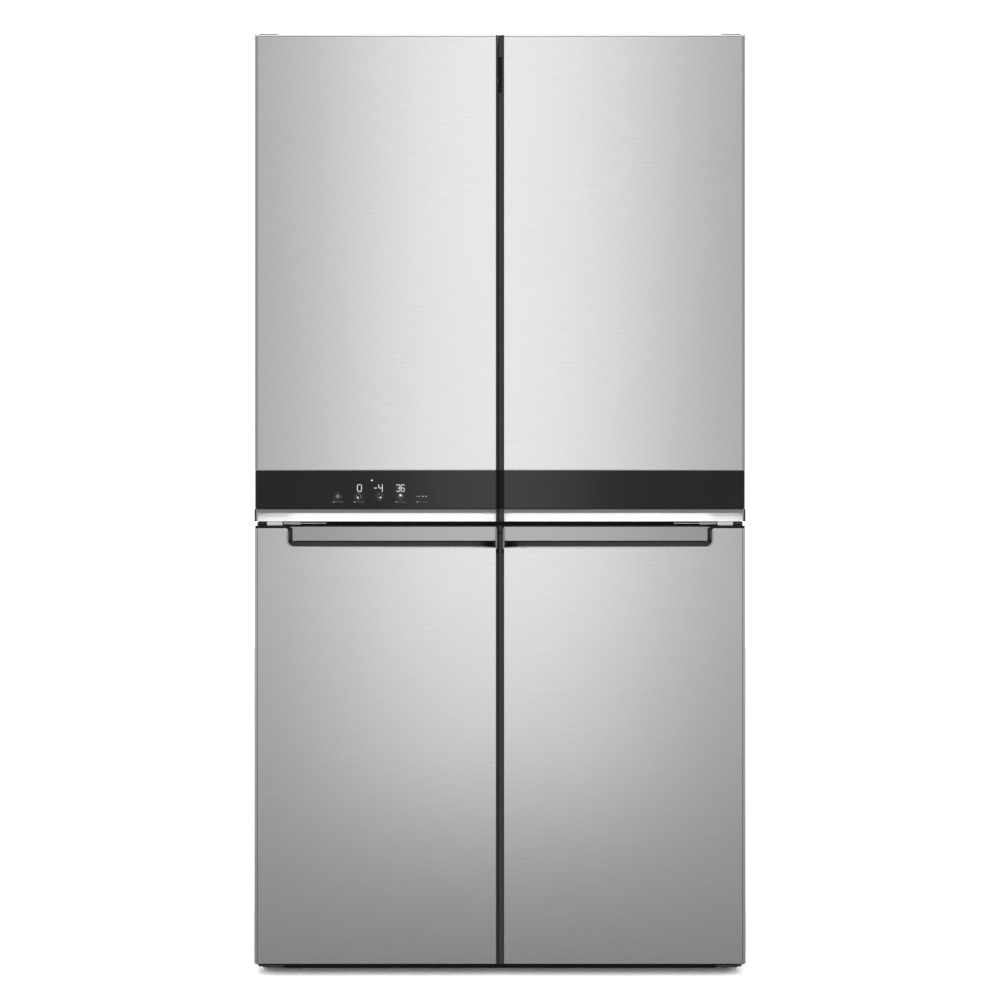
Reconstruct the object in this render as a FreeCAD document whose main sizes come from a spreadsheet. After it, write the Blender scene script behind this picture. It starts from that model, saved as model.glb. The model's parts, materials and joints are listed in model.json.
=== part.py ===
import FreeCAD, Part
import os
import re
import Sketcher
from FreeCAD import Placement, Rotation, Vector

# French door refrigerator: two tall upper doors over two lower freezer doors.
# Millimetres.  +X is the viewer's right, -Y the front, +Z up, floor at z = 0.
# Everything is modelled with the doors closed and the drawers pushed in.

doc = FreeCAD.newDocument("Refrigerator")
sheet = doc.addObject("Spreadsheet::Sheet", "Sizes")

SIZES = {
    "half_width": 452.5,
    "cabinet_half": 448.5,
    "front_y": -357.5,
    "back_y": 357.5,
    "seal_y": -283,
    "door_back_y": -295.5,
    "hinge_x": 441,
    "hinge_y": -330,
    "lower_base": 22,
    "lower_top": 829,
    "upper_base": 837,
    "upper_top": 1734,
    "cabinet_top": 1729,
    "cover_top": 1744,
    "pan_top": 31,
    "steel": 1,
    "plastic": 3,
    "edge_x": 4,
    "steel_x": 7.5,
    "band_base": 860.5,
    "band_top": 930.5,
    "glass": 3,
    "cove_y": -361,
    "cove_radius": 21.5,
    "core_y": -337.2,
    "recess_x": 393,
    "recess_base": 788,
    "recess_floor": 779,
    "recess_y": -327,
    "cavity_half": 400,
    "cavity_base": 873,
    "cavity_top": 1677,
    "cavity_back": 285,
    "freezer_in": 35,
    "freezer_out": 390,
    "freezer_base": 100,
    "freezer_top": 795,
    "freezer_back": 222,
    "room_y": 150,
    "room_top": 300,
    "step_z": 330,
    "step_y": 120,
    "pin_radius": 5,
    "bore_radius": 5.06,
    "gasket_wide": 14,
    "flap_x": -26,
    "flap_y": -277,
    "flap_low": 886,
    "flap_high": 1662,
    "flap_back": -219,
    "pane_half": 390,
    "pane_front": -155,
    "pane_back": 246,
    "roller_radius": 14,
    "roller_y": 300,
    "foot_x": 433,
    "foot_y": -255,
    "can_x": -250,
    "can_y": 255,
    "fan_y": 255,
    "fan_z": 140,
}
for row, (alias, value) in enumerate(SIZES.items(), 1):
    sheet.set(f"A{row}", alias)
    sheet.set(f"B{row}", str(value))
    sheet.setAlias(f"B{row}", alias)
doc.recompute()

WORD = re.compile(r"[a-z_]{3,}")


def rule(text):
    """Turns 'hinge_x - 5' into an expression that reads the sheet."""
    return WORD.sub(lambda hit: f"Sizes.{hit.group(0)}", str(text))


def box(name, x, y, z):
    """A box between two limits on each axis."""
    made = doc.addObject("Part::Box", name)
    sides = (("Length", "x", x), ("Width", "y", y), ("Height", "z", z))
    for size, axis, (low, high) in sides:
        made.setExpression(size, f"({rule(high)}) - ({rule(low)})")
        made.setExpression(f"Placement.Base.{axis}", rule(low))
    return made


TURNS = {
    "x": Rotation(Vector(0, 1, 0), 90),
    "y": Rotation(Vector(1, 0, 0), -90),
    "z": Rotation(),
}


def rod(name, axis, start, radius, length):
    """A cylinder that runs from start along +axis."""
    made = doc.addObject("Part::Cylinder", name)
    made.Placement = Placement(Vector(), TURNS[axis])
    made.setExpression("Radius", rule(radius))
    made.setExpression("Height", rule(length))
    for letter, value in zip("xyz", start):
        made.setExpression(f"Placement.Base.{letter}", rule(value))
    return made


def fuse(name, *parts):
    made = doc.addObject("Part::MultiFuse", name)
    made.Shapes = list(parts)
    made.Refine = True
    return made


def cut(name, base, *tools):
    made = doc.addObject("Part::Cut", name)
    made.Base = base
    made.Tool = tools[0] if len(tools) == 1 else fuse(f"{name}_tools", *tools)
    made.Refine = True
    return made


def common(name, base, tool):
    made = doc.addObject("Part::Common", name)
    made.Base = base
    made.Tool = tool
    return made


def mirror(name, source):
    """The same part on the other side of the middle plane."""
    made = doc.addObject("Part::Mirroring", name)
    made.Source = source
    made.Normal = (1, 0, 0)
    return made


def group(name, *parts):
    """Several solids that are one sub-part."""
    made = doc.addObject("Part::Compound", name)
    made.Links = list(parts)
    return made


def edge_numbers(shape, axis, near):
    """Edges along one axis whose middle lies at the given coordinates."""
    found = []
    for number, edge in enumerate(shape.Edges, 1):
        size = edge.BoundBox
        spans = {"x": size.XLength, "y": size.YLength, "z": size.ZLength}
        middle = {"x": size.Center.x, "y": size.Center.y, "z": size.Center.z}
        if max(spans, key=spans.get) != axis:
            continue
        if all(abs(middle[key] - want) < 0.01 for key, want in near.items()):
            found.append(number)
    return found


def rounded(name, base, radius, axis, *places):
    """Rounds the edges of base that run along axis through each place."""
    doc.recompute()
    numbers = []
    for near in places:
        numbers += edge_numbers(base.Shape, axis, near)
    made = doc.addObject("Part::Fillet", name)
    made.Base = base
    made.Edges = [(number, radius, radius) for number in numbers]
    return made


def profile(name, plane, points, low, high, rounds=()):
    """A PartDesign body: a closed outline padded between two levels."""
    body = doc.addObject("PartDesign::Body", name)
    sketch = body.newObject("Sketcher::SketchObject", f"{name}_outline")
    base = [part for part in body.Origin.OriginFeatures if part.Role == plane][0]
    sketch.AttachmentSupport = [(base, "")]
    sketch.MapMode = "FlatFace"
    sketch.setExpression("AttachmentOffset.Base.z", rule(low))
    corners = [[SIZES[word] + shift for word, shift in point] for point in points]
    count = len(corners)
    for index, corner in enumerate(corners):
        after = corners[(index + 1) % count]
        line = Part.LineSegment(Vector(*corner, 0), Vector(*after, 0))
        sketch.addGeometry(line, False)
    for index in range(count):
        follow = (index + 1) % count
        sketch.addConstraint(Sketcher.Constraint("Coincident", index, 2, follow, 1))
    for index, point in enumerate(points):
        for kind, (word, shift), value in zip(("DistanceX", "DistanceY"), point, corners[index]):
            number = sketch.addConstraint(Sketcher.Constraint(kind, -1, 1, index, 1, value))
            sketch.setExpression(f"Constraints[{number}]", f"Sizes.{word} + ({shift})")
    pad = body.newObject("PartDesign::Pad", f"{name}_pad")
    pad.Profile = sketch
    pad.setExpression("Length", f"({rule(high)}) - ({rule(low)})")
    doc.recompute()
    last = pad
    for number, (radius, axis, near) in enumerate(rounds, 1):
        fillet = body.newObject("PartDesign::Fillet", f"{name}_round{number}")
        names = [f"Edge{edge}" for edge in edge_numbers(last.Shape, axis, near)]
        fillet.Base = (last, names)
        fillet.Radius = radius
        doc.recompute()
        last = fillet
    body.Tip = last
    return body


def hollow(name, x, y, z, wall, front, notch):
    """An open-topped box with a thicker front and a finger notch in it."""
    outer = box(f"{name}_outer", x, y, z)
    corners = [{"x": side, "y": y[1]} for side in x]
    shell = rounded(f"{name}_round", outer, 10, "z", *corners)
    inside = box(f"{name}_inside", (x[0] + wall, x[1] - wall),
                 (y[0] + front, y[1] - wall), (z[0] + wall, z[1] + 1))
    middle = (x[0] + x[1]) / 2
    grip = box(f"{name}_grip", (middle - notch, middle + notch),
               (y[0] - 1, y[0] + front + 1), (z[1] - 16, z[1] + 1))
    return cut(name, shell, inside, grip)


nodes = {}


def keep(name, made):
    """Marks an object as a finished sub-part."""
    made.Label = name
    nodes[name] = made
    return made


def both(stem, made):
    """Keeps the right-hand part and its mirrored left-hand twin."""
    keep(f"{stem}_right", made)
    keep(f"{stem}_left", mirror(f"{stem}_left", made))


# ---------------------------------------------------------------- cabinet
wrap = box("wrap", ("-cabinet_half", "cabinet_half"), ("seal_y", "back_y - steel"),
           ("pan_top", "cabinet_top"))
wrap_room = box("wrap_room", ("-cabinet_half + steel", "cabinet_half - steel"),
                ("seal_y + steel", "back_y"), ("pan_top - 1", "cabinet_top - steel"))
wrap_mouth = box("wrap_mouth", (-425, 425), ("seal_y - 1", "seal_y + 2"), (60, 1702))
keep("cabinet_shell", cut("cabinet_shell", wrap, wrap_room, wrap_mouth))

foam_block = box("foam_block", ("-cabinet_half + steel", "cabinet_half - steel"),
                 ("seal_y + plastic", "back_y - steel"), ("pan_top", "cabinet_top - steel"))
fridge_hole = box("fridge_hole", ("-cavity_half - plastic", "cavity_half + plastic"),
                  ("seal_y", "cavity_back + plastic"),
                  ("cavity_base - plastic", "cavity_top + plastic"))
machine_hole = box("machine_hole", ("-cabinet_half", "cabinet_half"),
                   ("room_y", "back_y"), ("pan_top - 1", "room_top"))


def freezer_space(name, grow):
    """The stepped freezer space, larger all round by grow."""
    across = (f"freezer_in - {grow}", f"freezer_out + {grow}")
    top = f"freezer_top + {grow}"
    low = box(f"{name}_low", across, ("seal_y - 1", f"step_y + {grow}"),
              (f"freezer_base - {grow}", top))
    high = box(f"{name}_high", across, ("seal_y - 1", f"freezer_back + {grow}"),
               (f"step_z - {grow}", top))
    return fuse(name, low, high)


hole_right = freezer_space("freezer_hole", 3)
hole_left = mirror("freezer_hole_left", hole_right)
keep("cabinet_foam", cut("cabinet_foam", foam_block, fridge_hole, machine_hole,
                         hole_right, hole_left))

keep("back_panel", box("back_panel", ("-cabinet_half", "cabinet_half"),
                       ("back_y - steel", "back_y"), ("room_top", "cabinet_top")))

SHELVES = (1053, 1212, 1372, 1527)
liner_outer = box("liner_outer", ("-cavity_half - plastic", "cavity_half + plastic"),
                  ("seal_y", "cavity_back + plastic"),
                  ("cavity_base - plastic", "cavity_top + plastic"))
liner_rim = box("liner_rim", (-425, 425), ("seal_y", "seal_y + plastic"), (834, 1702))
liner_space = box("liner_space", ("-cavity_half", "cavity_half"),
                  ("seal_y - 1", "cavity_back"), ("cavity_base", "cavity_top"))
liner_skin = cut("liner_skin", fuse("liner_solid", liner_outer, liner_rim), liner_space)
ledges = []
for level in SHELVES:
    ledge = box(f"ledge_{level}", (384, "cavity_half + 1"), (-160, 250), (level - 8, level))
    ledges += [ledge, mirror(f"ledge_left_{level}", ledge)]
side_rail = box("crisper_rail", (368, "cavity_half + 1"), (-145, 250),
                ("cavity_base - 1", 882.5))
mid_rail = box("crisper_mid_rail", (-20, 20), (-145, 250), ("cavity_base - 1", 882.5))
keep("fridge_liner", fuse("fridge_liner", liner_skin, mid_rail, side_rail,
                          mirror("crisper_rail_left", side_rail), *ledges))

# Three drawers a side: base, top and back of each.
DRAWERS = {"low": (108, 320, 105), "mid": (345, 550, 160), "top": (567, 775, 160)}
freezer_outer = freezer_space("freezer_outer", 3)
freezer_trim = cut("freezer_trim", freezer_outer,
                   box("freezer_front", (0, 460), (-300, "seal_y"), (0, 1000)))
freezer_rim = box("freezer_rim", (0.5, 425), ("seal_y", "seal_y + plastic"), (60, 833))
freezer_skin = cut("freezer_skin", fuse("freezer_solid", freezer_trim, freezer_rim),
                   freezer_space("freezer_room", 0))
rails = []
for level, (base, top, back) in DRAWERS.items():
    for side, across in (("in", ("freezer_in - 1", 56)), ("out", (369, "freezer_out + 1"))):
        rails.append(box(f"rail_{level}_{side}", across, (-190, back), (base - 9, base - 0.5)))
freezer_right = fuse("freezer_right", freezer_skin, *rails)
keep("freezer_liners", group("freezer_liners", freezer_right,
                             mirror("freezer_left", freezer_right)))

# ---------------------------------------------------------------- base
pan = box("pan", ("-cabinet_half + steel", "cabinet_half - steel"),
          ("seal_y + steel", "back_y - steel"), ("pan_top - steel", "pan_top"))
frame_parts = [pan]
for side, across in (("inner", (420, 422)), ("outer", (444, 446))):
    frame_parts.append(box(f"channel_{side}", across, (-270, 340), (10, 30)))
frame_parts.append(box("foot_block", (422, 444), (-270, -240), (12, 30)))
frame_parts.append(rod("axle", "x", (421, "roller_y", "roller_radius"), 3, 24))
frame_parts += [mirror(f"{part.Name}_left", part) for part in frame_parts[1:]]
frame_parts.append(box("front_bar", (-421, 421), (-275, -255), (18, 30)))
frame_parts.append(box("rear_bar", (-421, 421), (325, 340), (18, 30)))
# The condenser fan's motor stands on the pan.
frame_parts.append(box("motor_post", (130, 136), (225, 285), (30, 172)))
frame_parts.append(rod("motor", "x", (116, "fan_y", "fan_z"), 24, 15))
frame_parts.append(rod("motor_shaft", "x", (92, "fan_y", "fan_z"), 4, 25))
frame_solid = fuse("frame_solid", *frame_parts)
stud_hole = rod("stud_hole", "z", ("foot_x", "foot_y", 5), 5.05, 24.5)
stud_hole_left = mirror("stud_hole_left", stud_hole)
keep("base_frame", cut("base_frame", frame_solid, stud_hole, stud_hole_left))

grille = box("grille", (-400, 400), (-293, -282), (5, 28))
grille_slots = []
for index in range(16):
    start = -372 + index * 47
    grille_slots.append(box(f"grille_slot_{index}", (start, start + 39), (-294, -285), (11, 14)))
    grille_slots.append(box(f"grille_gap_{index}", (start, start + 39), (-294, -285), (18, 21)))
keep("kickplate", cut("kickplate", grille, *grille_slots))

foot_disc = rod("foot_disc", "z", ("foot_x", "foot_y", 0), 17, 8)
foot_round = rod("foot_neck", "z", ("foot_x", "foot_y", 7), 8, 4)
foot_stud = rod("foot_stud", "z", ("foot_x", "foot_y", 10), "pin_radius", 18)
both("foot", fuse("foot_right", foot_disc, foot_round, foot_stud))

wheel = rod("wheel", "x", (424, "roller_y", "roller_radius"), "roller_radius", 18)
wheel_bore = rod("wheel_bore", "x", (420, "roller_y", "roller_radius"), 3.06, 26)
both("roller", cut("roller_right", wheel, wheel_bore))

# ---------------------------------------------------------------- hinges
PIVOT = ("hinge_x", "hinge_y")
top_hinge = fuse(
    "top_hinge",
    box("top_plate", (410, 446), (-341, -205), (1735, 1738)),
    box("top_riser", (410, 446), (-275, -205), ("cabinet_top", 1736)),
    rod("top_collar", "z", (*PIVOT, 1734.4), 9, 1),
    rod("top_pin", "z", (*PIVOT, 1719), "pin_radius", 18),
    rod("top_screw_a", "z", (428, -255, 1737), 6, 3),
    rod("top_screw_b", "z", (428, -225, 1737), 6, 3),
)
middle_hinge = fuse(
    "middle_hinge",
    box("middle_plate", (403, 446), (-341, "seal_y"), (831.5, 834.5)),
    box("middle_flange", (403, 446), (-286, "seal_y"), (825, 841)),
    box("middle_block", (368, 402), (-302, "seal_y"), (830, 836)),
    box("middle_tie", (334, 403), (-290, "seal_y"), (831.5, 834.5)),
    rod("middle_collar", "z", (*PIVOT, 829.4), 9, 7.2),
    rod("middle_pin", "z", (*PIVOT, 814), "pin_radius", 38),
)
bottom_hinge = fuse(
    "bottom_hinge",
    box("bottom_plate", (402, 446), (-341, -276), (14, 17)),
    box("bottom_riser", (402, 446), (-281, -276), (14, 30)),
    rod("bottom_collar", "z", (*PIVOT, 16), 9, 5.6),
    rod("bottom_pin", "z", (*PIVOT, 15), "pin_radius", 22),
)
hinges = [top_hinge, middle_hinge, bottom_hinge]
hinges += [mirror(f"{part.Name}_left", part) for part in hinges[:3]]
keep("hinge_brackets", group("hinge_brackets", *hinges))

cap_block = box("cap_block", (392, 448), (-282, -190), ("cabinet_top", "cover_top"))
cap_round = rounded("cap_round", cap_block, 5, "y", {"x": 392, "z": 1744}, {"x": 448, "z": 1744})
cap_space = box("cap_space", (393.5, 446.5), (-280.5, -191.5), (1728, 1742.2))
cap_slot = box("cap_slot", (409, 447), (-284, -280), (1728, 1738.5))
hinge_cover = cut("hinge_cover", cap_round, cap_space, cap_slot)
keep("hinge_covers", group("hinge_covers", hinge_cover, mirror("hinge_cover_left", hinge_cover)))

# ---------------------------------------------------------------- doors
# All four are drawn on the right-hand side and mirrored to the left.


def wrap_outline(thick, fold):
    """Front and outer side of a door, and a short fold at its middle edge."""
    side_end = ("door_back_y", -3)
    points = [
        (("steel_x", 0), ("front_y", 0)),
        (("half_width", 0), ("front_y", 0)),
        (("half_width", 0), side_end),
        (("half_width", -thick), side_end),
        (("half_width", -thick), ("front_y", thick)),
    ]
    if fold:
        points += [
            (("steel_x", thick), ("front_y", thick)),
            (("steel_x", thick), ("front_y", fold)),
            (("steel_x", 0), ("front_y", fold)),
        ]
    else:
        points.append((("steel_x", 0), ("front_y", thick)))
    return points


CORNER = {"x": 452.5, "y": -357.5}
INNER_CORNER = {"x": 451.5, "y": -356.5}


def bores(name, low, high):
    """Blind holes for the pins at both ends of a door."""
    below = rod(f"{name}_bore_low", "z", (*PIVOT, f"{low} - 1"), "bore_radius", 19)
    above = rod(f"{name}_bore_high", "z", (*PIVOT, f"{high} - 18"), "bore_radius", 19)
    return [below, above]


def end_cap(name, z, front="front_y + steel", at_face=True):
    """A plastic cap that closes one end of a door; at_face rounds its front corner."""
    main = box(f"{name}_main", ("steel_x + steel", "half_width - steel"),
               (front, "door_back_y"), z)
    if at_face:
        main = rounded(f"{name}_round", main, 3, "z", INNER_CORNER)
    link = box(f"{name}_link", ("edge_x", "steel_x + steel + 1"),
               ("front_y + 24", "door_back_y"), z)
    return [main, link]


def seal(name, z):
    """The magnetic gasket: a ring with a groove along its face."""
    low, high = z
    outer = box(f"{name}_outer", (8, "hinge_x"), ("door_back_y", "seal_y - 0.3"), z)
    inner = box(f"{name}_inner", ("8 + gasket_wide", "hinge_x - gasket_wide"),
                (-300, -280), (low + 14, high - 14))
    groove_out = box(f"{name}_groove_out", (12, "hinge_x - 4"), (-290, -287),
                     (low + 4, high - 4))
    groove_in = box(f"{name}_groove_in", (18, "hinge_x - 10"), (-291, -286),
                    (low + 10, high - 10))
    return cut(name, outer, inner, cut(f"{name}_tunnel", groove_out, groove_in))


def door_liner(name, z, x_plug, wall, z_plug, lugs):
    """Inner door panel with the raised wall that carries the bins."""
    plate = box(f"{name}_plate", ("steel_x + steel", "half_width - steel"),
                ("door_back_y - plastic", "door_back_y"), z)
    left, right = x_plug
    low, high = z_plug
    dyke_block = box(f"{name}_dyke_block", x_plug, ("door_back_y - 1", -268), z_plug)
    dyke_round = rounded(f"{name}_dyke_round", dyke_block, 12, "y",
                         {"x": left, "z": low}, {"x": left, "z": high},
                         {"x": right, "z": low}, {"x": right, "z": high})
    dyke_space = box(f"{name}_dyke_space", (left + wall, right - wall),
                     ("door_back_y", -260), (low + wall, high - wall))
    pieces = [plate, cut(f"{name}_dyke", dyke_round, dyke_space)]
    for level in lugs:
        for side, across in (("in", (left + wall - 1, left + wall + 9)),
                             ("out", (right - wall - 9, right - wall + 1))):
            pieces.append(box(f"{name}_lug_{side}_{level}", across, (-296, -270),
                              (level - 8, level)))
    return fuse(name, *pieces)


def bins(name, x, back, height, levels):
    """The door bins: open boxes with a raised bar along the back."""
    made = []
    for level in levels:
        outer = box(f"{name}_{level}_outer", x, (-293, back), (level, level + height))
        shell = rounded(f"{name}_{level}_round", outer, 16, "z",
                        {"x": x[0], "y": back}, {"x": x[1], "y": back})
        room = box(f"{name}_{level}_room", (x[0] + 2.5, x[1] - 2.5),
                   (-290.5, back - 2.5), (level + 2.5, level + height + 1))
        room_round = rounded(f"{name}_{level}_room_round", room, 13.5, "z",
                             {"x": x[0] + 2.5, "y": back - 2.5},
                             {"x": x[1] - 2.5, "y": back - 2.5})
        made.append(cut(f"{name}_{level}", shell, room_round))
    return group(name, *made)


# Upper doors: steel panel, black glass band, polished cove under it.
both("upper_skin", profile("upper_skin_right", "XY_Plane", wrap_outline(1, 17),
                           "band_top + 0.5", "upper_top",
                           ((4, "z", CORNER), (3, "z", INNER_CORNER))))
both("glass_band", profile("glass_band_right", "XY_Plane", wrap_outline(3, 0),
                           "band_base", "band_top", ((4, "z", CORNER),)))

cove_outer = rod("cove_outer", "x", ("steel_x", "cove_y", "upper_base"),
                 "cove_radius + 2", "half_width - steel_x - 2.5")
cove_inner = rod("cove_inner", "x", ("steel_x - 1", "cove_y", "upper_base"),
                 "cove_radius", "half_width - steel_x")
cove_limit = box("cove_limit", (0, 460), ("front_y", -330), ("upper_base", "upper_base + 30"))
both("handle_cove", common("handle_cove_right", cut("cove_ring", cove_outer, cove_inner),
                           cove_limit))

core_main = box("core_main", ("steel_x + steel", "half_width - steel"),
                ("front_y + steel", "door_back_y - plastic"),
                ("band_top + 0.5", "upper_top - 3"))
core_round = rounded("core_round", core_main, 3, "z", INNER_CORNER)
core_band = box("core_band", ("steel_x + steel", "half_width - glass"),
                ("front_y + glass", "door_back_y - plastic"), ("band_base + 2.5", "band_top + 1"))
core_cove = box("core_cove", ("steel_x + steel", "half_width - glass"),
                ("core_y", "door_back_y - plastic"), ("upper_base + 3", "band_base + 3"))
upper_core = fuse("upper_core", core_round, core_band, core_cove)
both("upper_foam", cut("upper_foam_right", upper_core,
                       *bores("upper_foam", "upper_base", "upper_top")))

strip = box("upper_strip", ("edge_x", "steel_x"), ("front_y + 4", "door_back_y"),
            ("upper_base", "upper_top"))
side_piece = box("upper_side", ("half_width - 2.5", "half_width"),
                 ("front_y", "door_back_y - plastic"), ("upper_base", "band_base - 0.3"))
upper_caps = [strip, side_piece]
upper_caps += end_cap("upper_top_cap", ("upper_top - 3", "upper_top"))
upper_caps += end_cap("upper_low_cap", ("upper_base", "upper_base + 3"), "core_y - 0.2", False)
both("upper_trim", cut("upper_trim_right", fuse("upper_caps", *upper_caps),
                       *bores("upper_trim", "upper_base", "upper_top")))

both("upper_gasket", seal("upper_gasket_right", (845, 1715)))

UPPER_BINS = (932, 1187, 1442)
LOWER_BINS = (150, 380, 597)
upper_panel = door_liner("upper_liner_right", ("upper_base + 3", "upper_top - 3"),
                         (46, 393), 14, (883, 1667), UPPER_BINS)
keep("upper_liner_right", upper_panel)
# The left door also carries the pivots of the folding mullion flap.
flap_mounts = [mirror("upper_liner_plain", upper_panel)]
for end, arm, pin in (("low", ("flap_low - 7", "flap_low - 1"), "flap_low - 2"),
                      ("high", ("flap_high + 1", "flap_high + 7"), "flap_high - 14")):
    flap_mounts.append(box(f"flap_arm_{end}", (-60, "flap_x + 6"), (-281, -271), arm))
    flap_mounts.append(rod(f"flap_pin_{end}", "z", ("flap_x", "flap_y", pin), 3, 16))
keep("upper_liner_left", fuse("upper_liner_left", *flap_mounts))

both("upper_bins", bins("upper_bins_right", (62, 377), -173, 105, UPPER_BINS))

# Lower doors: steel panel with a long scooped grip along the top edge.
lower_wrap = profile("lower_wrap", "XY_Plane", wrap_outline(1, 17),
                     "lower_base", "lower_top", ((4, "z", CORNER), (3, "z", INNER_CORNER)))
notch_block = box("notch_block", (0, "recess_x"), ("front_y - 1", "front_y + 20"),
                  ("recess_base", "lower_top + 1"))
notch = rounded("notch", notch_block, 15, "y",
                {"x": SIZES["recess_x"], "z": SIZES["recess_base"]})
scoop_block = box("scoop_block", ("steel_x", "recess_x + steel"),
                  ("front_y + steel", "recess_y + steel"), ("recess_floor - steel", "lower_top"))
SCOOP_CORNER = {"y": SIZES["recess_y"], "z": SIZES["recess_floor"]}
SCOOP_SKIN = {"y": SIZES["recess_y"] + SIZES["steel"], "z": SIZES["recess_floor"] - SIZES["steel"]}
scoop_outer = rounded("scoop_outer", scoop_block, 13, "x", SCOOP_SKIN)
scoop_room = box("scoop_room", (0, "recess_x"), ("front_y - 5", "recess_y"),
                 ("recess_floor", "lower_top + 1"))
scoop_inner = rounded("scoop_inner", scoop_room, 12, "x", SCOOP_CORNER)
scoop = cut("scoop", scoop_outer, scoop_inner)
both("lower_skin", fuse("lower_skin_right", cut("lower_front", lower_wrap, notch), scoop))

grip_room = box("grip_room", (0, "recess_x + steel"), ("front_y - 1", "recess_y + steel"),
                ("recess_floor - steel", "lower_top + 1"))
lower_core = box("lower_core", ("steel_x + steel", "half_width - steel"),
                 ("front_y + steel", "door_back_y - plastic"),
                 ("lower_base + 3", "lower_top - 3"))
lower_core_round = rounded("lower_core_round", lower_core, 3, "z", INNER_CORNER)
both("lower_foam", cut("lower_foam_right", lower_core_round, grip_room,
                       *bores("lower_foam", "lower_base", "lower_top")))

lower_caps = [box("lower_strip", ("edge_x", "steel_x"), ("front_y + 4", "door_back_y"),
                  ("lower_base", "lower_top"))]
lower_caps += end_cap("lower_top_cap", ("lower_top - 3", "lower_top"))
lower_caps += end_cap("lower_low_cap", ("lower_base", "lower_base + 3"))
both("lower_trim", cut("lower_trim_right", fuse("lower_caps", *lower_caps), grip_room,
                       *bores("lower_trim", "lower_base", "lower_top")))

both("lower_gasket", seal("lower_gasket_right", (48, 821)))
both("lower_liner", door_liner("lower_liner_right", ("lower_base + 3", "lower_top - 3"),
                               (43, 383), 13, (108, 787), LOWER_BINS))
both("lower_bins", bins("lower_bins_right", (58, 368), -213, 90, LOWER_BINS))

# The mullion flap, folded back along the left door's edge.
flap_solid = fuse(
    "flap_solid",
    box("flap_main", (-42, "flap_x + 6"), ("flap_y", "flap_back"), ("flap_low", "flap_high")),
    box("flap_nose", (-42, "flap_x"), ("flap_y - 6", "flap_y"), ("flap_low", "flap_high")),
    rod("flap_round", "z", ("flap_x", "flap_y", "flap_low"), 6, "flap_high - flap_low"),
)
flap_bore_low = rod("flap_bore_low", "z", ("flap_x", "flap_y", "flap_low - 1"), 3.06, 18)
flap_bore_high = rod("flap_bore_high", "z", ("flap_x", "flap_y", "flap_high - 17"), 3.06, 18)
keep("mullion_flap", cut("mullion_flap", flap_solid, flap_bore_low, flap_bore_high))

# ---------------------------------------------------------------- inside
panes = []
frames = []
for level in SHELVES:
    panes.append(box(f"pane_{level}", ("-pane_half", "pane_half"), ("pane_front", "pane_back"),
                     (level + 10, level + 14)))
    rim = box(f"rim_{level}", ("-pane_half - 8", "pane_half + 8"),
              ("pane_front - 10", "pane_back + 9"), (level, level + 14))
    through = box(f"rim_hole_{level}", ("-pane_half + 12", "pane_half - 12"),
                  ("pane_front + 12", "pane_back - 12"), (level - 1, level + 15))
    rebate = box(f"rim_rebate_{level}", ("-pane_half", "pane_half"), ("pane_front", "pane_back"),
                 (level + 10, level + 15))
    frames.append(cut(f"shelf_frame_{level}", rim, through, rebate))
keep("shelf_glass", group("shelf_glass", *panes))
keep("shelf_frames", group("shelf_frames", *frames))

tower = box("tower", (-95, 95), (261, "cavity_back"), (1087, 1662))
tower_round = rounded("tower_round", tower, 10, "z", {"x": -95, "y": 261}, {"x": 95, "y": 261})
tower_slots = [box("tower_room", (-88, 88), (265, 290), (1095, 1654))]
for level in (1152, 1307, 1467, 1607):
    for shift in (0, 12, 24):
        tower_slots.append(box(f"tower_slot_{level}_{shift}", (-60, 60), (255, 270),
                               (level + shift, level + shift + 5)))
keep("air_tower", cut("air_tower", tower_round, *tower_slots))

plate = box("cover_plate", (36, 389), (170, 173), (331, 794))
cover_slots = []
for index in range(6):
    start = 66 + index * 50
    for level in (360, 470, 590, 700):
        cover_slots.append(box(f"cover_slot_{index}_{level}", (start, start + 40),
                               (169, 174), (level, level + 8)))
air_cover = cut("air_cover", plate, *cover_slots)
keep("freezer_air_covers", group("freezer_air_covers", air_cover,
                                 mirror("air_cover_left", air_cover)))

lamp = box("lamp", (-160, 160), (-242, -216), (1671, "cavity_top"))
small_lamp = box("small_lamp", (150, 275), (-240, -220), (790, "freezer_top"))
keep("light_strips", group("light_strips", lamp, small_lamp,
                           mirror("small_lamp_left", small_lamp)))

crisper = hollow("crisper_right", (22, 377), (-153, 250), (883, 1049), 3, 8, 60)
both("crisper", crisper)
for level, (base, top, back) in DRAWERS.items():
    both(f"drawer_{level}", hollow(f"drawer_{level}_right", (48, 377), (-196, back),
                                   (base, top), 3, 8, 60))


# ---------------------------------------------------------------- machinery
def fin_pack(name, x, y, z, count, runs):
    """Upright fins on a set of straight tubes."""
    pieces = []
    pitch = (x[1] - x[0]) / (count - 1)
    for index in range(count):
        start = x[0] + index * pitch
        pieces.append(box(f"{name}_fin_{index}", (start, start + 1), y, z))
    for index in range(runs):
        height = z[0] + (index + 0.5) * (z[1] - z[0]) / runs
        start = (x[0] - 8, (y[0] + y[1]) / 2, height)
        pieces.append(rod(f"{name}_tube_{index}", "x", start, 5, x[1] - x[0] + 17))
    for side, start in (("near", x[0] - 8), ("far", x[1] + 7)):
        pieces.append(box(f"{name}_plate_{side}", (start, start + 2), y, z))
    return fuse(name, *pieces)


evaporator = fin_pack("evaporator", (75, 350), (182, 214), (390, 640), 23, 5)
condenser = fin_pack("condenser", (190, 400), (185, 325), (34, 250), 19, 5)
keep("heat_exchangers", group("heat_exchangers", condenser, evaporator,
                              mirror("evaporator_left", evaporator)))

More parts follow.
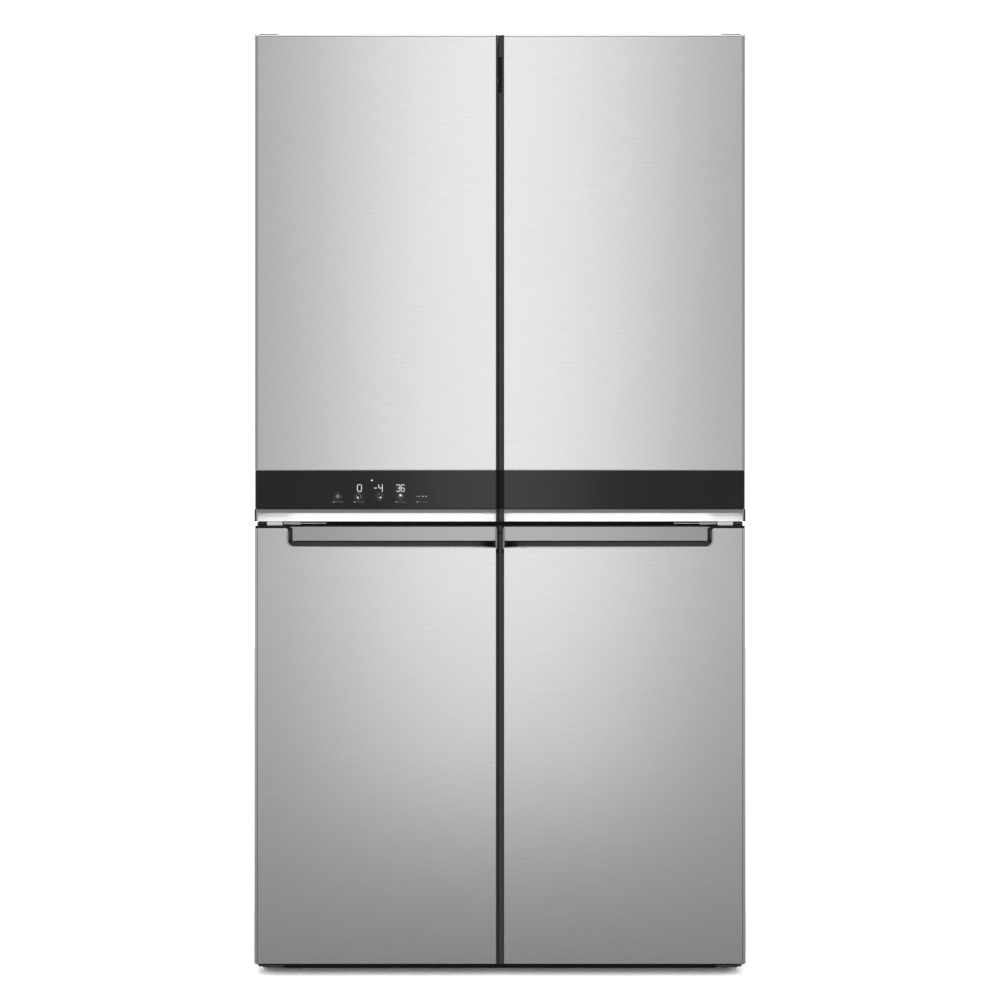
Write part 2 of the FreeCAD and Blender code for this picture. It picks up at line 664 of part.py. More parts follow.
CAN_BASE = 42
CAN_HEIGHT = 150
can = rod("can", "z", ("can_x", "can_y", CAN_BASE), 78, CAN_HEIGHT)
can_round = rounded("can_round", can, 34, "x", {"z": CAN_BASE + CAN_HEIGHT})
compressor = fuse(
    "compressor_solid",
    can_round,
    box("sole", ("can_x - 100", "can_x + 100"), ("can_y - 70", "can_y + 70"), (38, 44)),
    *[rod(f"grommet_{number}", "z", (f"can_x + ({across})", f"can_y + ({along})", "pan_top"),
          10, 8)
      for number, (across, along) in enumerate(((-85, -55), (85, -55), (-85, 55), (85, 55)))],
    rod("suction", "z", ("can_x - 60", "can_y + 45", 120), 5, 120),
    rod("discharge", "x", ("can_x + 70", "can_y", 120), 4, 60),
    box("relay", ("can_x - 95", "can_x - 70"), ("can_y - 30", "can_y + 30"), (80, 150)),
)
keep("compressor", compressor)

blades = [rod("fan_hub", "x", (94, "fan_y", "fan_z"), 20, 18)]
for index in range(5):
    angle = index * 72
    blade = doc.addObject("Part::Box", f"blade_{index}")
    blade.Length = 2
    blade.Width = 30
    blade.Height = 62
    tilt = Rotation(Vector(0, 0, 1), 35)
    turn = Rotation(Vector(1, 0, 0), angle)
    reach = turn.multVec(tilt.multVec(Vector(-1, -15, 0)) + Vector(0, 0, 16))
    blade.Placement = Placement(Vector(103, SIZES["fan_y"], SIZES["fan_z"]) + reach,
                                turn.multiply(tilt))
    blades.append(blade)
fan_bore = rod("fan_bore", "x", (90, "fan_y", "fan_z"), 4.06, 26)
keep("condenser_fan", cut("condenser_fan", fuse("fan_solid", *blades), fan_bore))

cover = box("rear_cover", (-447, 447), ("back_y - steel", "back_y"), ("pan_top", "room_top - 1"))
vents = [box("inlet_hole", (-396, -354), (355, 359), (236, 264))]
for index in range(14):
    start = -290 + index * 46
    for level in (70, 100, 130, 160, 190):
        vents.append(box(f"vent_{index}_{level}", (start, start + 36), (355, 359),
                         (level, level + 9)))
keep("machine_cover", cut("machine_cover", cover, *vents))

inlet = box("inlet", (-395, -355), (328, "back_y"), (237, 263))
socket = box("inlet_socket", (-389, -361), (340, 360), (243, 257))
prongs = [box(f"prong_{place}", (place, place + 2), (338, 347), (247, 253))
          for place in (-383, -376, -369)]
keep("power_inlet", fuse("power_inlet", cut("inlet_body", inlet, socket), *prongs))

# ---------------------------------------------------------------- hand in
doc.recompute()
for part in doc.Objects:
    bad = [word for word in part.State if word in ("Invalid", "Error")]
    if bad:
        raise RuntimeError(f"{part.Name}: {bad}")
for name, part in nodes.items():
    if not part.Shape.isValid():
        raise RuntimeError(f"{name}: shape not valid")
    if not part.Shape.Solids:
        raise RuntimeError(f"{name}: no solid")

os.makedirs("parts", exist_ok=True)
for name, part in nodes.items():
    part.Shape.exportStep(f"parts/{name}.step")

whole = Part.makeCompound([part.Shape for part in nodes.values()]).BoundBox
print("sub-parts", len(nodes))
print("x", whole.XMin, whole.XMax, "y", whole.YMin, whole.YMax, "z", whole.ZMin, whole.ZMax)
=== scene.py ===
import json
import math

import bmesh
import bpy
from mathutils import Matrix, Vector


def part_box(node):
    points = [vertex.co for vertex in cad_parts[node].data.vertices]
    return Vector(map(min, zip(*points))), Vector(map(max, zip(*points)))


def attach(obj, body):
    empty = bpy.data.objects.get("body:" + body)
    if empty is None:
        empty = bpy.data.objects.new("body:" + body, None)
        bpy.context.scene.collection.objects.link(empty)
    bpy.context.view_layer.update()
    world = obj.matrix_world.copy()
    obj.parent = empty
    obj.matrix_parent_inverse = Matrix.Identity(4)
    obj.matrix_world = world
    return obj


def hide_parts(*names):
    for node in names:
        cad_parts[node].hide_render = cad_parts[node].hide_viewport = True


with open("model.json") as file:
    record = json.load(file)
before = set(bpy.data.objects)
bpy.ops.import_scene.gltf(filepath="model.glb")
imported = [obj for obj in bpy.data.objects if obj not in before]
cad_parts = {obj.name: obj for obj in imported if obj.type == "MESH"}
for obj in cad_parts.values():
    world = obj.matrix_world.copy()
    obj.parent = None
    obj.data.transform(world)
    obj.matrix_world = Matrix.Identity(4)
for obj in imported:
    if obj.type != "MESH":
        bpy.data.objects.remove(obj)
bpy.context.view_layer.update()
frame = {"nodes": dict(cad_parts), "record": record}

# French door refrigerator in metres: +X the viewer's right, -Y the front, +Z up.
# Door pieces are drawn on the right-hand side and mirrored for the left-hand doors.

MM = 0.001
SIDES = (("right", 1), ("left", -1))


def mm(*values):
    """Millimetres as a tuple of metres."""
    return tuple(value * MM for value in values)


# ------------------------------------------------------------------ shapes
class Shape:
    """Vertices and faces that grow into one piece."""

    def __init__(self):
        self.verts = []
        self.faces = []

    def loft(self, loops, caps=True, ring=False, closed=True):
        """Skins a row of loops that have equal point counts."""
        first = len(self.verts)
        count = len(loops[0])
        for loop in loops:
            self.verts.extend(loop)
        rows = len(loops) if ring else len(loops) - 1
        for row in range(rows):
            here = first + row * count
            there = first + (row + 1) % len(loops) * count
            for step in range(count if closed else count - 1):
                after = (step + 1) % count
                self.faces.append((here + step, here + after, there + after, there + step))
        if caps and not ring:
            last = first + (len(loops) - 1) * count
            self.faces.append(tuple(range(first + count - 1, first - 1, -1)))
            self.faces.append(tuple(range(last, last + count)))

    def block(self, x, y, z):
        """A box; its edges are rounded by the piece's bevel."""
        self.loft([[(x[0], y[0], level), (x[1], y[0], level), (x[1], y[1], level),
                    (x[0], y[1], level)] for level in z])

    def plate(self, outline, axis, low, high):
        """An outline pushed from low to high along an axis."""
        self.loft([[place(axis, u, v, w) for u, v in outline] for w in (low, high)])

    def lathe(self, profile, centre, steps=32):
        """A profile of (radius, height) turned about an upright axis; its ends are closed."""
        loops = []
        for radius, height in profile:
            turns = [math.tau * step / steps for step in range(steps)]
            loops.append([(centre[0] + radius * math.cos(turn), centre[1] + radius * math.sin(turn),
                           height) for turn in turns])
        self.loft(loops)

    def tube(self, points, radius, steps=12):
        """A round tube along a row of points."""
        path = [Vector(point) for point in points]
        loops = []
        side = None
        for index, point in enumerate(path):
            ahead = path[min(index + 1, len(path) - 1)] - path[max(index - 1, 0)]
            ahead.normalize()
            if side is None:
                side = ahead.orthogonal().normalized()
            side = (side - ahead * side.dot(ahead)).normalized()
            across = ahead.cross(side)
            loops.append([tuple(point + radius * (math.cos(math.tau * k / steps) * side
                                                  + math.sin(math.tau * k / steps) * across))
                          for k in range(steps)])
        self.loft(loops)


def place(axis, u, v, w):
    """(u, v) in the plane across an axis and w along it."""
    return {"x": (w, u, v), "y": (u, w, v), "z": (u, v, w)}[axis]


def arc(centre, radius, start, end, steps):
    """Points along an arc, in degrees."""
    points = []
    for step in range(steps + 1):
        angle = math.radians(start + (end - start) * step / steps)
        points.append((centre[0] + radius * math.cos(angle), centre[1] + radius * math.sin(angle)))
    return points


def rounded(u, v, radius, steps=6):
    """A rectangle with round corners, as one loop of points."""
    points = []
    for corner_u, corner_v, start in ((u[1] - radius, v[1] - radius, 0),
                                      (u[0] + radius, v[1] - radius, 90),
                                      (u[0] + radius, v[0] + radius, 180),
                                      (u[1] - radius, v[0] + radius, 270)):
        points += arc((corner_u, corner_v), radius, start, start + 90, steps)
    return points


def grown(pair, amount):
    """A (low, high) pair, larger by amount at both ends."""
    return (pair[0] - amount, pair[1] + amount)


def ring_loop(axis, u, v, radius, inset, depth, steps=6):
    """A rounded rectangle drawn in by inset, at one depth along the axis."""
    radius = max(radius - inset, 0.2 * MM)
    points = rounded(grown(u, -inset), grown(v, -inset), radius, steps)
    return [place(axis, a, b, depth) for a, b in points]


def rings(axis, u, v, radius, origin, section, steps=6):
    """A rounded rectangle for each (inset, depth past the origin) of a section in millimetres."""
    return [ring_loop(axis, u, v, radius, inset * MM, origin + depth * MM, steps)
            for inset, depth in section]


def span(node):
    """The x, y and z pairs of a node's box."""
    low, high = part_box(node)
    return [(low[k], high[k]) for k in range(3)]


def build(name, shape, body, material, flip=1, replaces=None, bevel=0.4 * MM,
          angle=50, segments=2, thick=0.0, sharp=32):
    """Turns a shape into a piece that rides on a body, in the given material."""
    mesh = bpy.data.meshes.new(name)
    mesh.from_pydata([(flip * x, y, z) for x, y, z in shape.verts], [], shape.faces)
    grid = bmesh.new()
    grid.from_mesh(mesh)
    bmesh.ops.remove_doubles(grid, verts=grid.verts, dist=1e-6)
    bmesh.ops.recalc_face_normals(grid, faces=grid.faces)
    grid.to_mesh(mesh)
    grid.free()
    mesh.materials.append(material)
    mesh.shade_smooth()
    mesh.set_sharp_from_angle(angle=math.radians(sharp))
    piece = bpy.data.objects.new(name, mesh)
    bpy.context.scene.collection.objects.link(piece)
    if thick:
        solid = piece.modifiers.new("thickness", "SOLIDIFY")
        solid.thickness = thick
        solid.offset = -1
    if bevel:
        soften(piece, bevel, angle, segments)
    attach(piece, body)
    if replaces:
        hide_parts(replaces)


def soften(piece, width, angle, segments=2):
    """Small round edges that catch the light."""
    edge = piece.modifiers.new("edges", "BEVEL")
    edge.width = width
    edge.segments = segments
    edge.limit_method = "ANGLE"
    edge.angle_limit = math.radians(angle)
    edge.harden_normals = True


# ------------------------------------------------------------------ materials
class Look:
    """A Principled material and the procedural fields wired into it."""

    def __init__(self, name, base, rough, metal=0.0, **sockets):
        self.base = base
        self.material = bpy.data.materials.new(name)
        self.material.use_nodes = True
        self.tree = self.material.node_tree
        self.inputs = self.tree.nodes["Principled BSDF"].inputs
        self.set(Base_Color=(*base, 1), Roughness=rough, Metallic=metal, **sockets)

    def set(self, **sockets):
        """Plain values on the shader's own sockets."""
        for socket, value in sockets.items():
            self.inputs[socket.replace("_", " ")].default_value = value

    def field(self, scale, stretch=(1, 1, 1), kind="ShaderNodeTexNoise", **settings):
        """A noise or Voronoi field in the object's own metres."""
        coords = self.tree.nodes.new("ShaderNodeTexCoord")
        mapping = self.tree.nodes.new("ShaderNodeMapping")
        mapping.inputs["Scale"].default_value = stretch
        self.tree.links.new(coords.outputs["Object"], mapping.inputs["Vector"])
        texture = self.tree.nodes.new(kind)
        texture.inputs["Scale"].default_value = scale
        for socket, value in settings.items():
            texture.inputs[socket].default_value = value
        self.tree.links.new(mapping.outputs["Vector"], texture.inputs["Vector"])
        return texture.outputs[0]

    def tint(self, source, *stops):
        """Base colour from a field; a stop is its position and a colour or a factor of the base."""
        node = self.tree.nodes.new("ShaderNodeValToRGB")
        elements = node.color_ramp.elements
        elements[0].position = stops[0][0]
        elements[1].position = stops[-1][0]
        middle = [elements.new(position) for position, value in stops[1:-1]]
        for element, (position, value) in zip([elements[0], *middle, elements[-1]], stops):
            colour = value if isinstance(value, tuple) else tone(self.base, value)
            element.color = (*colour, 1)
        self.tree.links.new(source, node.inputs["Fac"])
        self.tree.links.new(node.outputs["Color"], self.inputs["Base Color"])

    def gloss(self, source, low, high):
        """Roughness between two values, from the middle range of a field."""
        node = self.tree.nodes.new("ShaderNodeMapRange")
        for socket, value in (("From Min", 0.3), ("From Max", 0.7), ("To Min", low),
                              ("To Max", high)):
            node.inputs[socket].default_value = value
        self.tree.links.new(source, node.inputs["Value"])
        self.tree.links.new(node.outputs["Result"], self.inputs["Roughness"])

    def relief(self, source, distance, strength):
        """A field raised as fine relief; distance is in metres."""
        node = self.tree.nodes.new("ShaderNodeBump")
        node.inputs["Distance"].default_value = distance
        node.inputs["Strength"].default_value = strength
        self.tree.links.new(source, node.inputs["Height"])
        self.tree.links.new(node.outputs["Normal"], self.inputs["Normal"])


def tone(colour, factor):
    """A colour made lighter or darker, each channel kept at or below one."""
    return tuple(min(channel * factor, 1.0) for channel in colour)


def brushed_steel():
    """The satin door steel: long fine grain across the door."""
    look = Look("door_steel", (0.47, 0.47, 0.472), 0.15, 1.0)
    grain = look.field(900, (0.03, 1, 1), Detail=4.0, Roughness=0.65)
    patch = look.field(5, Detail=2.0)
    look.tint(grain, (0.3, 0.965), (0.7, 1.03))
    look.gloss(patch, 0.147, 0.153)
    look.relief(grain, 0.000004, 0.5)
    return look.material


def drawn_metal(name, base, low, high, stretch=(0.05, 1, 1), metal=1.0, scale=700, light=1.02,
                relief=0.000005):
    """Bright metal with fine streaks along it."""
    look = Look(name, base, (low + high) / 2, metal)
    streak = look.field(scale, stretch, Detail=3.0)
    look.tint(streak, (0.3, 0.95), (0.7, light))
    look.gloss(streak, low, high)
    look.relief(streak, relief, 0.4)
    return look.material


def black_glass():
    """Back-painted control glass with specks and a faint film."""
    look = Look("black_glass", (0.003, 0.003, 0.0032), 0.1, IOR=1.39)
    speck = look.field(1400, Detail=2.0)
    look.tint(speck, (0.4, (0.0025, 0.0025, 0.0027)), (0.7, (0.005, 0.005, 0.0053)))
    film = look.field(14, (1, 1, 0.4), Detail=3.0)
    look.gloss(film, 0.095, 0.12)
    return look.material


def moulded(name, base, rough, grain_scale=900, depth=0.00002, vary=0.06, shine=0.5,
            drift=0.05):
    """Moulded plastic or rubber with a fine spark-eroded grain."""
    look = Look(name, base, rough, Specular_IOR_Level=shine)
    grain = look.field(grain_scale, Detail=3.0)
    wear = look.field(9, Detail=4.0)
    look.tint(wear, (0.3, 1 - vary), (0.7, 1 + vary))
    look.gloss(wear, rough - drift, rough + drift)
    look.relief(grain, depth, 0.6)
    return look.material


def painted(name, base, rough, peel=260, depth=0.00005):
    """Sprayed paint on sheet steel with orange peel."""
    look = Look(name, base, rough, Coat_Weight=0.2, Coat_Roughness=0.25)
    skin = look.field(peel, Detail=2.0)
    cloud = look.field(3, Detail=4.0)
    look.tint(cloud, (0.3, 0.95), (0.7, 1.05))
    look.gloss(skin, rough - 0.06, rough + 0.06)
    look.relief(skin, depth, 0.7)
    return look.material


def galvanised():
    """Zinc-coated sheet with a fine spangle."""
    look = Look("galvanised", (0.3, 0.303, 0.307), 0.45, 0.7)
    cells = look.field(260, kind="ShaderNodeTexVoronoi", Randomness=1.0)
    look.tint(cells, (0.1, 0.93), (0.5, 1.0), (0.9, 1.07))
    look.gloss(cells, 0.42, 0.5)
    look.relief(cells, 0.000004, 0.3)
    return look.material


def clear(name, base, rough, ior, **sockets):
    """See-through moulded plastic or glass."""
    look = Look(name, base, rough, IOR=ior, **sockets)
    ripple = look.field(15, Detail=2.0)
    look.gloss(ripple, rough, rough + 0.012)
    look.tint(ripple, (0.3, 0.97), (0.7, 1.0))
    return look.material


def foam():
    """Poured insulation with open cells."""
    look = Look("insulation", (0.83, 0.76, 0.55), 0.9)
    cells = look.field(420, kind="ShaderNodeTexVoronoi")
    look.tint(cells, (0.0, 0.75), (0.6, 1.0))
    look.relief(cells, 0.0003, 0.8)
    return look.material


def lamp():
    """The lit, prismatic cover of the light strips."""
    look = Look("lamp_diffuser", (0.95, 0.95, 0.92), 0.4, Emission_Color=(1.0, 0.97, 0.92, 1),
                Emission_Strength=1.2)
    prism = look.field(500, (1, 0.05, 1), Detail=1.0)
    look.relief(prism, 0.00005, 0.5)
    return look.material


def ink(name, base, level):
    """Printed or lit marks on the control glass."""
    look = Look(name, base, 0.5, Emission_Color=(0.92, 0.96, 1.0, 1), Emission_Strength=level)
    dots = look.field(3000, Detail=1.0)
    look.gloss(dots, 0.45, 0.55)
    look.tint(dots, (0.3, 0.92), (0.7, 1.0))
    return look.material


STEEL = brushed_steel()
GRIP_STEEL = drawn_metal("grip_steel", (0.3, 0.3, 0.302), 0.16, 0.19, (0.03, 1, 1), scale=900,
                         light=1.04, relief=0.000003)
ALUMINIUM = drawn_metal("polished_aluminium", (0.96, 0.96, 0.965), 0.3, 0.36, metal=0.5)
HINGE_STEEL = drawn_metal("hinge_steel", (0.74, 0.74, 0.73), 0.22, 0.36, (1, 1, 1))
FINS = drawn_metal("fin_aluminium", (0.78, 0.79, 0.8), 0.3, 0.45, (1, 1, 0.05))
ZINC = galvanised()
PAINT = painted("cabinet_paint", (0.17, 0.172, 0.175), 0.42)
ENAMEL = painted("compressor_enamel", (0.012, 0.012, 0.013), 0.25, 180, 0.00004)
HINGE_PAINT = painted("hinge_paint", (0.012, 0.012, 0.012), 0.45)
GLASS_BLACK = black_glass()
CLEAR = clear("clear_plastic", (0.86, 0.91, 0.93), 0.08, 1.49, Alpha=0.15)
PANE = clear("shelf_pane", (0.86, 0.95, 0.93), 0.01, 1.52, Transmission_Weight=0.94)
TRIM = moulded("edge_trim", (0.022, 0.022, 0.0216), 0.45, shine=0.3)
CAP_BLACK = moulded("black_plastic", (0.0045, 0.0045, 0.0045), 0.5, shine=0.12)
KICK = moulded("kick_plastic", (0.0045, 0.0045, 0.0045), 0.6, shine=0.12)
# Near-black for the grip's wall: painted shade of the recess.
GRIP_SHADE = moulded("grip_painted_shade", (0.012, 0.012, 0.012), 0.35, shine=0.35)
CARRIER = moulded("grey_plastic", (0.12, 0.12, 0.122), 0.5, shine=0.3)
FLAP_FACE = moulded("flap_plastic", (0.1, 0.1, 0.102), 0.45)
GASKET = moulded("gasket_rubber", (0.2, 0.2, 0.205), 0.6, 700)
LINER = moulded("liner_white", (0.74, 0.75, 0.76), 0.3, 500, 0.000008, 0.01, drift=0.015)
FRAME_WHITE = moulded("frame_plastic", (0.8, 0.81, 0.82), 0.35, 600, 0.00001, 0.02)
# White for the hinge plate: painted reflection of bright zinc.
HINGE_SHEEN = moulded("hinge_painted_sheen", (0.72, 0.72, 0.71), 0.35)
FOAM = foam()
LAMP = lamp()
INK_LIT = ink("display_lit", (0.45, 0.46, 0.47), 0.28)
INK_MID = ink("display_grey", (0.17, 0.17, 0.175), 0.0)
INK_FAINT = ink("display_faint", (0.035, 0.035, 0.036), 0.0)


def dress(node, material, bevel=0.0):
    """Gives a CAD node its material and, where it helps, small round edges."""
    item = frame["nodes"][node]
    item.data.materials.clear()
    item.data.materials.append(material)
    item.data.shade_smooth()
    item.data.set_sharp_from_angle(angle=math.radians(30))
    if bevel:
        weld = item.modifiers.new("weld", "WELD")
        weld.merge_threshold = 1e-6
        soften(item, bevel, 40)


# ------------------------------------------------------------------ doors
FACE_Y = span("upper_skin_right")[1][0]
DOOR_BACK = span("upper_trim_right")[1][1]
STEEL_X, EDGE_X = span("upper_skin_right")[0]
TRIM_X = span("lower_trim_right")[0][0]
SEAL_Y = span("cabinet_shell")[1][0]
SHEET = 0.9 * MM
GROOVE = 6.9 * MM
CHANNEL = {"upper": 3.6 * MM, "lower": 1.9 * MM}


def behind(*depths):
    """Depths behind the door faces, from millimetres."""
    return tuple(FACE_Y + depth * MM for depth in depths)


def edge_roll(shape, z, level):
    """The folded outer edge of a steel door: a channel, then a rolled bead."""
    start = EDGE_X - GROOVE
    end = start + CHANNEL[level]
    wall = EDGE_X - SHEET
    radius = 2.8 * MM
    step, floor, nose, back, inside = behind(0.95, 0.75, 0.3, 2.4, 4)
    outer = [(start - 2.5 * MM, step), (start - 0.2 * MM, step), (start, floor),
             (end - 0.2 * MM, floor), (end, nose), (end + 0.3 * MM, FACE_Y)]
    outer += arc((EDGE_X - radius, FACE_Y + radius), radius, 270, 360, 9)
    outer += [(EDGE_X, DOOR_BACK - 3 * MM), (wall, DOOR_BACK - 3 * MM), (wall, inside),
              (EDGE_X - 2 * MM, back), (start - 2.5 * MM, back)]
    shape.plate(outer, "z", *z)


def channel_shade(side, flip, level, z, head=None):
    """A strip of darker steel on the floor of the channel, up the outer edge and, from a given
    head, along the top: painted shade of the groove.
    """
    start = EDGE_X - GROOVE - 0.3 * MM
    end = EDGE_X - GROOVE + CHANNEL[level]
    outline = [(start, z[0]), (end, z[0]), (end, z[1])]
    if head:
        outline += [(STEEL_X, z[1]), (STEEL_X, head), (start, head)]
    else:
        outline.append((start, z[1]))
    strip = Shape()
    strip.plate(outline, "y", *behind(0.55, 0.8))
    # Darker steel on the channel's floor: painted shade of the groove.
    build(f"channel_shade_{level}_{side}", strip, f"{level}_door_{side}", GRIP_STEEL, flip,
          bevel=0.05 * MM)


def middle_fold(shape, z):
    """The short fold along the door's inner edge."""
    shape.block((STEEL_X, STEEL_X + SHEET), behind(0.6, 17), z)


def upper_skin(side, flip):
    """An upper door front: a flat face with a hem at its foot and a rolled bead along its head."""
    foot, top = span("upper_skin_right")[2]
    face = (STEEL_X, EDGE_X - GROOVE)
    hem = 1.5 * MM
    bead = 3.2 * MM
    head = top - bead - 1.7 * MM
    shape = Shape()
    shape.plate(rounded(face, (foot + hem, head), 0.5 * MM, 3), "y", FACE_Y, FACE_Y + SHEET)
    section = arc((FACE_Y + hem, foot + hem), hem, 180, 270, 6)
    section += [(FACE_Y + hem, foot + 0.5 * MM), (FACE_Y + SHEET, foot + hem)]
    shape.plate(section, "x", *face)
    section = arc((FACE_Y + bead, top - bead), bead, 180, 90, 9)
    section += [(FACE_Y + 8 * MM, top), (FACE_Y + 8 * MM, top - 0.6 * MM),
                (FACE_Y + SHEET, top - bead)]
    shape.plate(section, "x", STEEL_X, EDGE_X - 2 * MM)
    edge_roll(shape, (foot, top - 0.3 * MM), "upper")
    middle_fold(shape, (foot + MM, top - MM))
    build(f"upper_steel_{side}", shape, f"upper_door_{side}", STEEL, flip, f"upper_skin_{side}",
          bevel=0.3 * MM, angle=60, segments=3)
    channel_shade(side, flip, "upper", (foot, top - 2 * MM), head - 0.2 * MM)


def opening(name):
    """The low and high corners of one of the model's stated openings."""
    for entry in frame["record"]["physics"]["openings"]:
        if entry["name"] == name:
            return entry["box_m"]
    raise ValueError(name)


LOWER_TOP = span("lower_skin_right")[2][1]
STEEL_TOP = LOWER_TOP - 4.6 * MM
GRIP_X = opening("lower_grip_space_right")[1][0] + 8 * MM
GRIP_Z = opening("lower_grip_space_right")[0][2] - 4 * MM
GRIP_RADIUS = 14 * MM

# The grip in millimetres: depth of its back, then sections as (towards the opening, depth).
GRIP_DEPTH = 30.3
LIP = ((-0.5, 0.6), (0.3, 0.6), (1.3, 0.9), (2.3, 1.6), (3.0, 2.7), (3.3, 4.2), (3.2, 5.6))
WALL_BASE = ((2.7, 5.4), (-1, 7.5), (-5, 11), (-7.6, 16), (-6, 22), (1, 27), (8, 28.9), (13, 30.2))
WALL_SIDE = ((2.7, 5.4), (3, 7.5), (3.4, 11), (3.9, 16), (4.5, 22), (5.2, 27), (6.2, 29), (8, 30.2))


def grip_line():
    """The edge of the grip opening: along the bottom, round the corner and up the side."""
    left = STEEL_X - 2 * MM
    turn = GRIP_X - GRIP_RADIUS
    points = [(left + (turn - left) * step / 8, GRIP_Z) for step in range(9)]
    points += arc((turn, GRIP_Z + GRIP_RADIUS), GRIP_RADIUS, 270, 360, 9)[1:]
    rise = STEEL_TOP - GRIP_Z - GRIP_RADIUS
    points += [(GRIP_X, GRIP_Z + GRIP_RADIUS + rise * step / 3) for step in (1, 2, 3)]
    return points


def swept(base_section, side_section):
    """A skin along the grip's edge; its section blends from the bottom's form to the side's."""
    line = grip_line()
    rows = []
    for index, (u, v) in enumerate(line):
        before = line[max(index - 1, 0)]
        after = line[min(index + 1, len(line) - 1)]
        along = Vector((after[0] - before[0], after[1] - before[1])).normalized()
        inward = Vector((-along.y, along.x))
        blend = max(inward.y, 0)
        row = []
        for (base_reach, base_depth), (side_reach, side_depth) in zip(base_section, side_section):
            reach = (base_reach * blend + side_reach * (1 - blend)) * MM
            depth = (base_depth * blend + side_depth * (1 - blend)) * MM
            row.append((u + inward.x * reach, FACE_Y + depth, v + inward.y * reach))
        rows.append(row)
    shape = Shape()
    shape.loft(rows, caps=False, closed=False)
    return shape


def grip(side, flip):
    """The grip: a rolled steel lip, a near-black wall that is painted shade of the recess, a satin
    back and its inner end.
    """
    body = f"lower_door_{side}"
    build(f"grip_lip_{side}", swept(LIP, LIP), body, GRIP_STEEL, flip,
          bevel=0, thick=0.4 * MM, sharp=60)
    # The wall is near-black: painted shade down the recess's side and along its bottom.
    build(f"grip_shade_wall_{side}", swept(WALL_BASE, WALL_SIDE), body, GRIP_SHADE, flip,
          bevel=0, thick=0.5 * MM, sharp=60)
    back = Shape()
    back.plate(rounded((STEEL_X - MM, GRIP_X), (GRIP_Z + MM, STEEL_TOP + 2.6 * MM), 2 * MM, 4),
               "y", *behind(GRIP_DEPTH - 0.4, GRIP_DEPTH + 0.4))
    build(f"grip_back_{side}", back, body, GRIP_STEEL, flip, bevel=0.3 * MM)
    inner = STEEL_X + 0.4 * MM
    plug = Shape()
    plug.plate([(inner, GRIP_Z - MM), (13.6 * MM, GRIP_Z - MM), (13.8 * MM, GRIP_Z + 9.5 * MM),
                (12.6 * MM, GRIP_Z + 13 * MM), (10.6 * MM, GRIP_Z + 13.2 * MM),
                (9.8 * MM, GRIP_Z + 9.6 * MM), (inner, GRIP_Z + 8 * MM)], "y", *behind(3.4, 29))
    build(f"grip_plug_{side}", plug, body, CAP_BLACK, flip, bevel=0.6 * MM)
    post = Shape()
    post.block((TRIM_X + 1.2 * MM, STEEL_X + 0.8 * MM), behind(0.8, 29),
               (GRIP_Z - 2 * MM, STEEL_TOP))
    build(f"grip_post_{side}", post, body, CARRIER, flip, bevel=0.3 * MM)


def lower_skin(side, flip):
    """A lower door front, cut out for the grip, and the black cap over its outer top corner."""
    foot, head = span("lower_skin_right")[2]
    foot += MM
    body = f"lower_door_{side}"
    corner = 3 * MM
    edge = [(u, v) for u, v in grip_line() if v < STEEL_TOP - corner - MM]
    face_end = EDGE_X - GROOVE
    outline = [(STEEL_X, foot), (face_end, foot), (face_end, STEEL_TOP)]
    outline += arc((GRIP_X + corner, STEEL_TOP - corner), corner, 90, 180, 5)
    outline += [(u, v) for u, v in reversed(edge) if u > STEEL_X]
    outline.append((STEEL_X, GRIP_Z))
    shape = Shape()
    shape.plate(outline, "y", FACE_Y, FACE_Y + SHEET)
    edge_roll(shape, (foot, STEEL_TOP), "lower")
    channel_shade(side, flip, "lower", (foot, STEEL_TOP))
    middle_fold(shape, (foot + MM, GRIP_Z - 2 * MM))
    build(f"lower_steel_{side}", shape, body, STEEL, flip, f"lower_skin_{side}",
          bevel=0.35 * MM, angle=60, segments=3)
    low = STEEL_TOP + 0.2 * MM
    high = head + 1.4 * MM
    start = GRIP_X - 3.6 * MM
    cap = Shape()
    cap.plate([(EDGE_X - 9 * MM, low), (EDGE_X - 0.8 * MM, low), (EDGE_X - 6.4 * MM, high),
               (EDGE_X - 9 * MM, high)], "y", *behind(1.2, 14.5))
    cap.block((start, EDGE_X - 2.5 * MM), behind(0.4, 8), (STEEL_TOP - 0.1 * MM, head - 0.2 * MM))
    cap.block((start, GRIP_X + 4 * MM), behind(1.3, 9), (STEEL_TOP - 3.4 * MM, STEEL_TOP + MM))
    build(f"corner_cap_{side}", cap, body, CAP_BLACK, flip)


def control_band(side, flip):
    """The black glass of the control band, its seams and its dark inner end."""
    x, y, z = span("glass_band_right")
    body = f"upper_door_{side}"
    radius = 2.6 * MM
    inside = y[0] + 3 * MM
    turn = x[1] - radius - 1.2 * MM
    outline = [(x[0], y[0]), (turn, y[0])]
    outline += arc((turn, y[0] + radius), radius, 270, 360, 8)
    outline += [(x[1] - 1.2 * MM, y[1]), (x[1] - 3 * MM, y[1]), (x[1] - 3 * MM, inside),
                (x[0], inside)]
    shape = Shape()
    shape.plate(outline, "z", *z)
    build(f"control_glass_{side}", shape, body, GLASS_BLACK, flip, f"glass_band_{side}",
          bevel=0.5 * MM, angle=60)
    seam = Shape()
    for heights in ((z[1], z[1] + 0.5 * MM), (z[0] - 1.2 * MM, z[0])):
        seam.block((x[0], x[1] - 4 * MM), (y[0] + 0.9 * MM, y[0] + 2.4 * MM), heights)
    build(f"band_seams_{side}", seam, body, CAP_BLACK, flip, bevel=0.1 * MM)
    edge = Shape()
    edge.block((TRIM_X - 0.05 * MM, x[0] + 0.2 * MM), behind(1.4, 16), z)
    build(f"band_edge_{side}", edge, body, CAP_BLACK, flip, bevel=0.2 * MM)


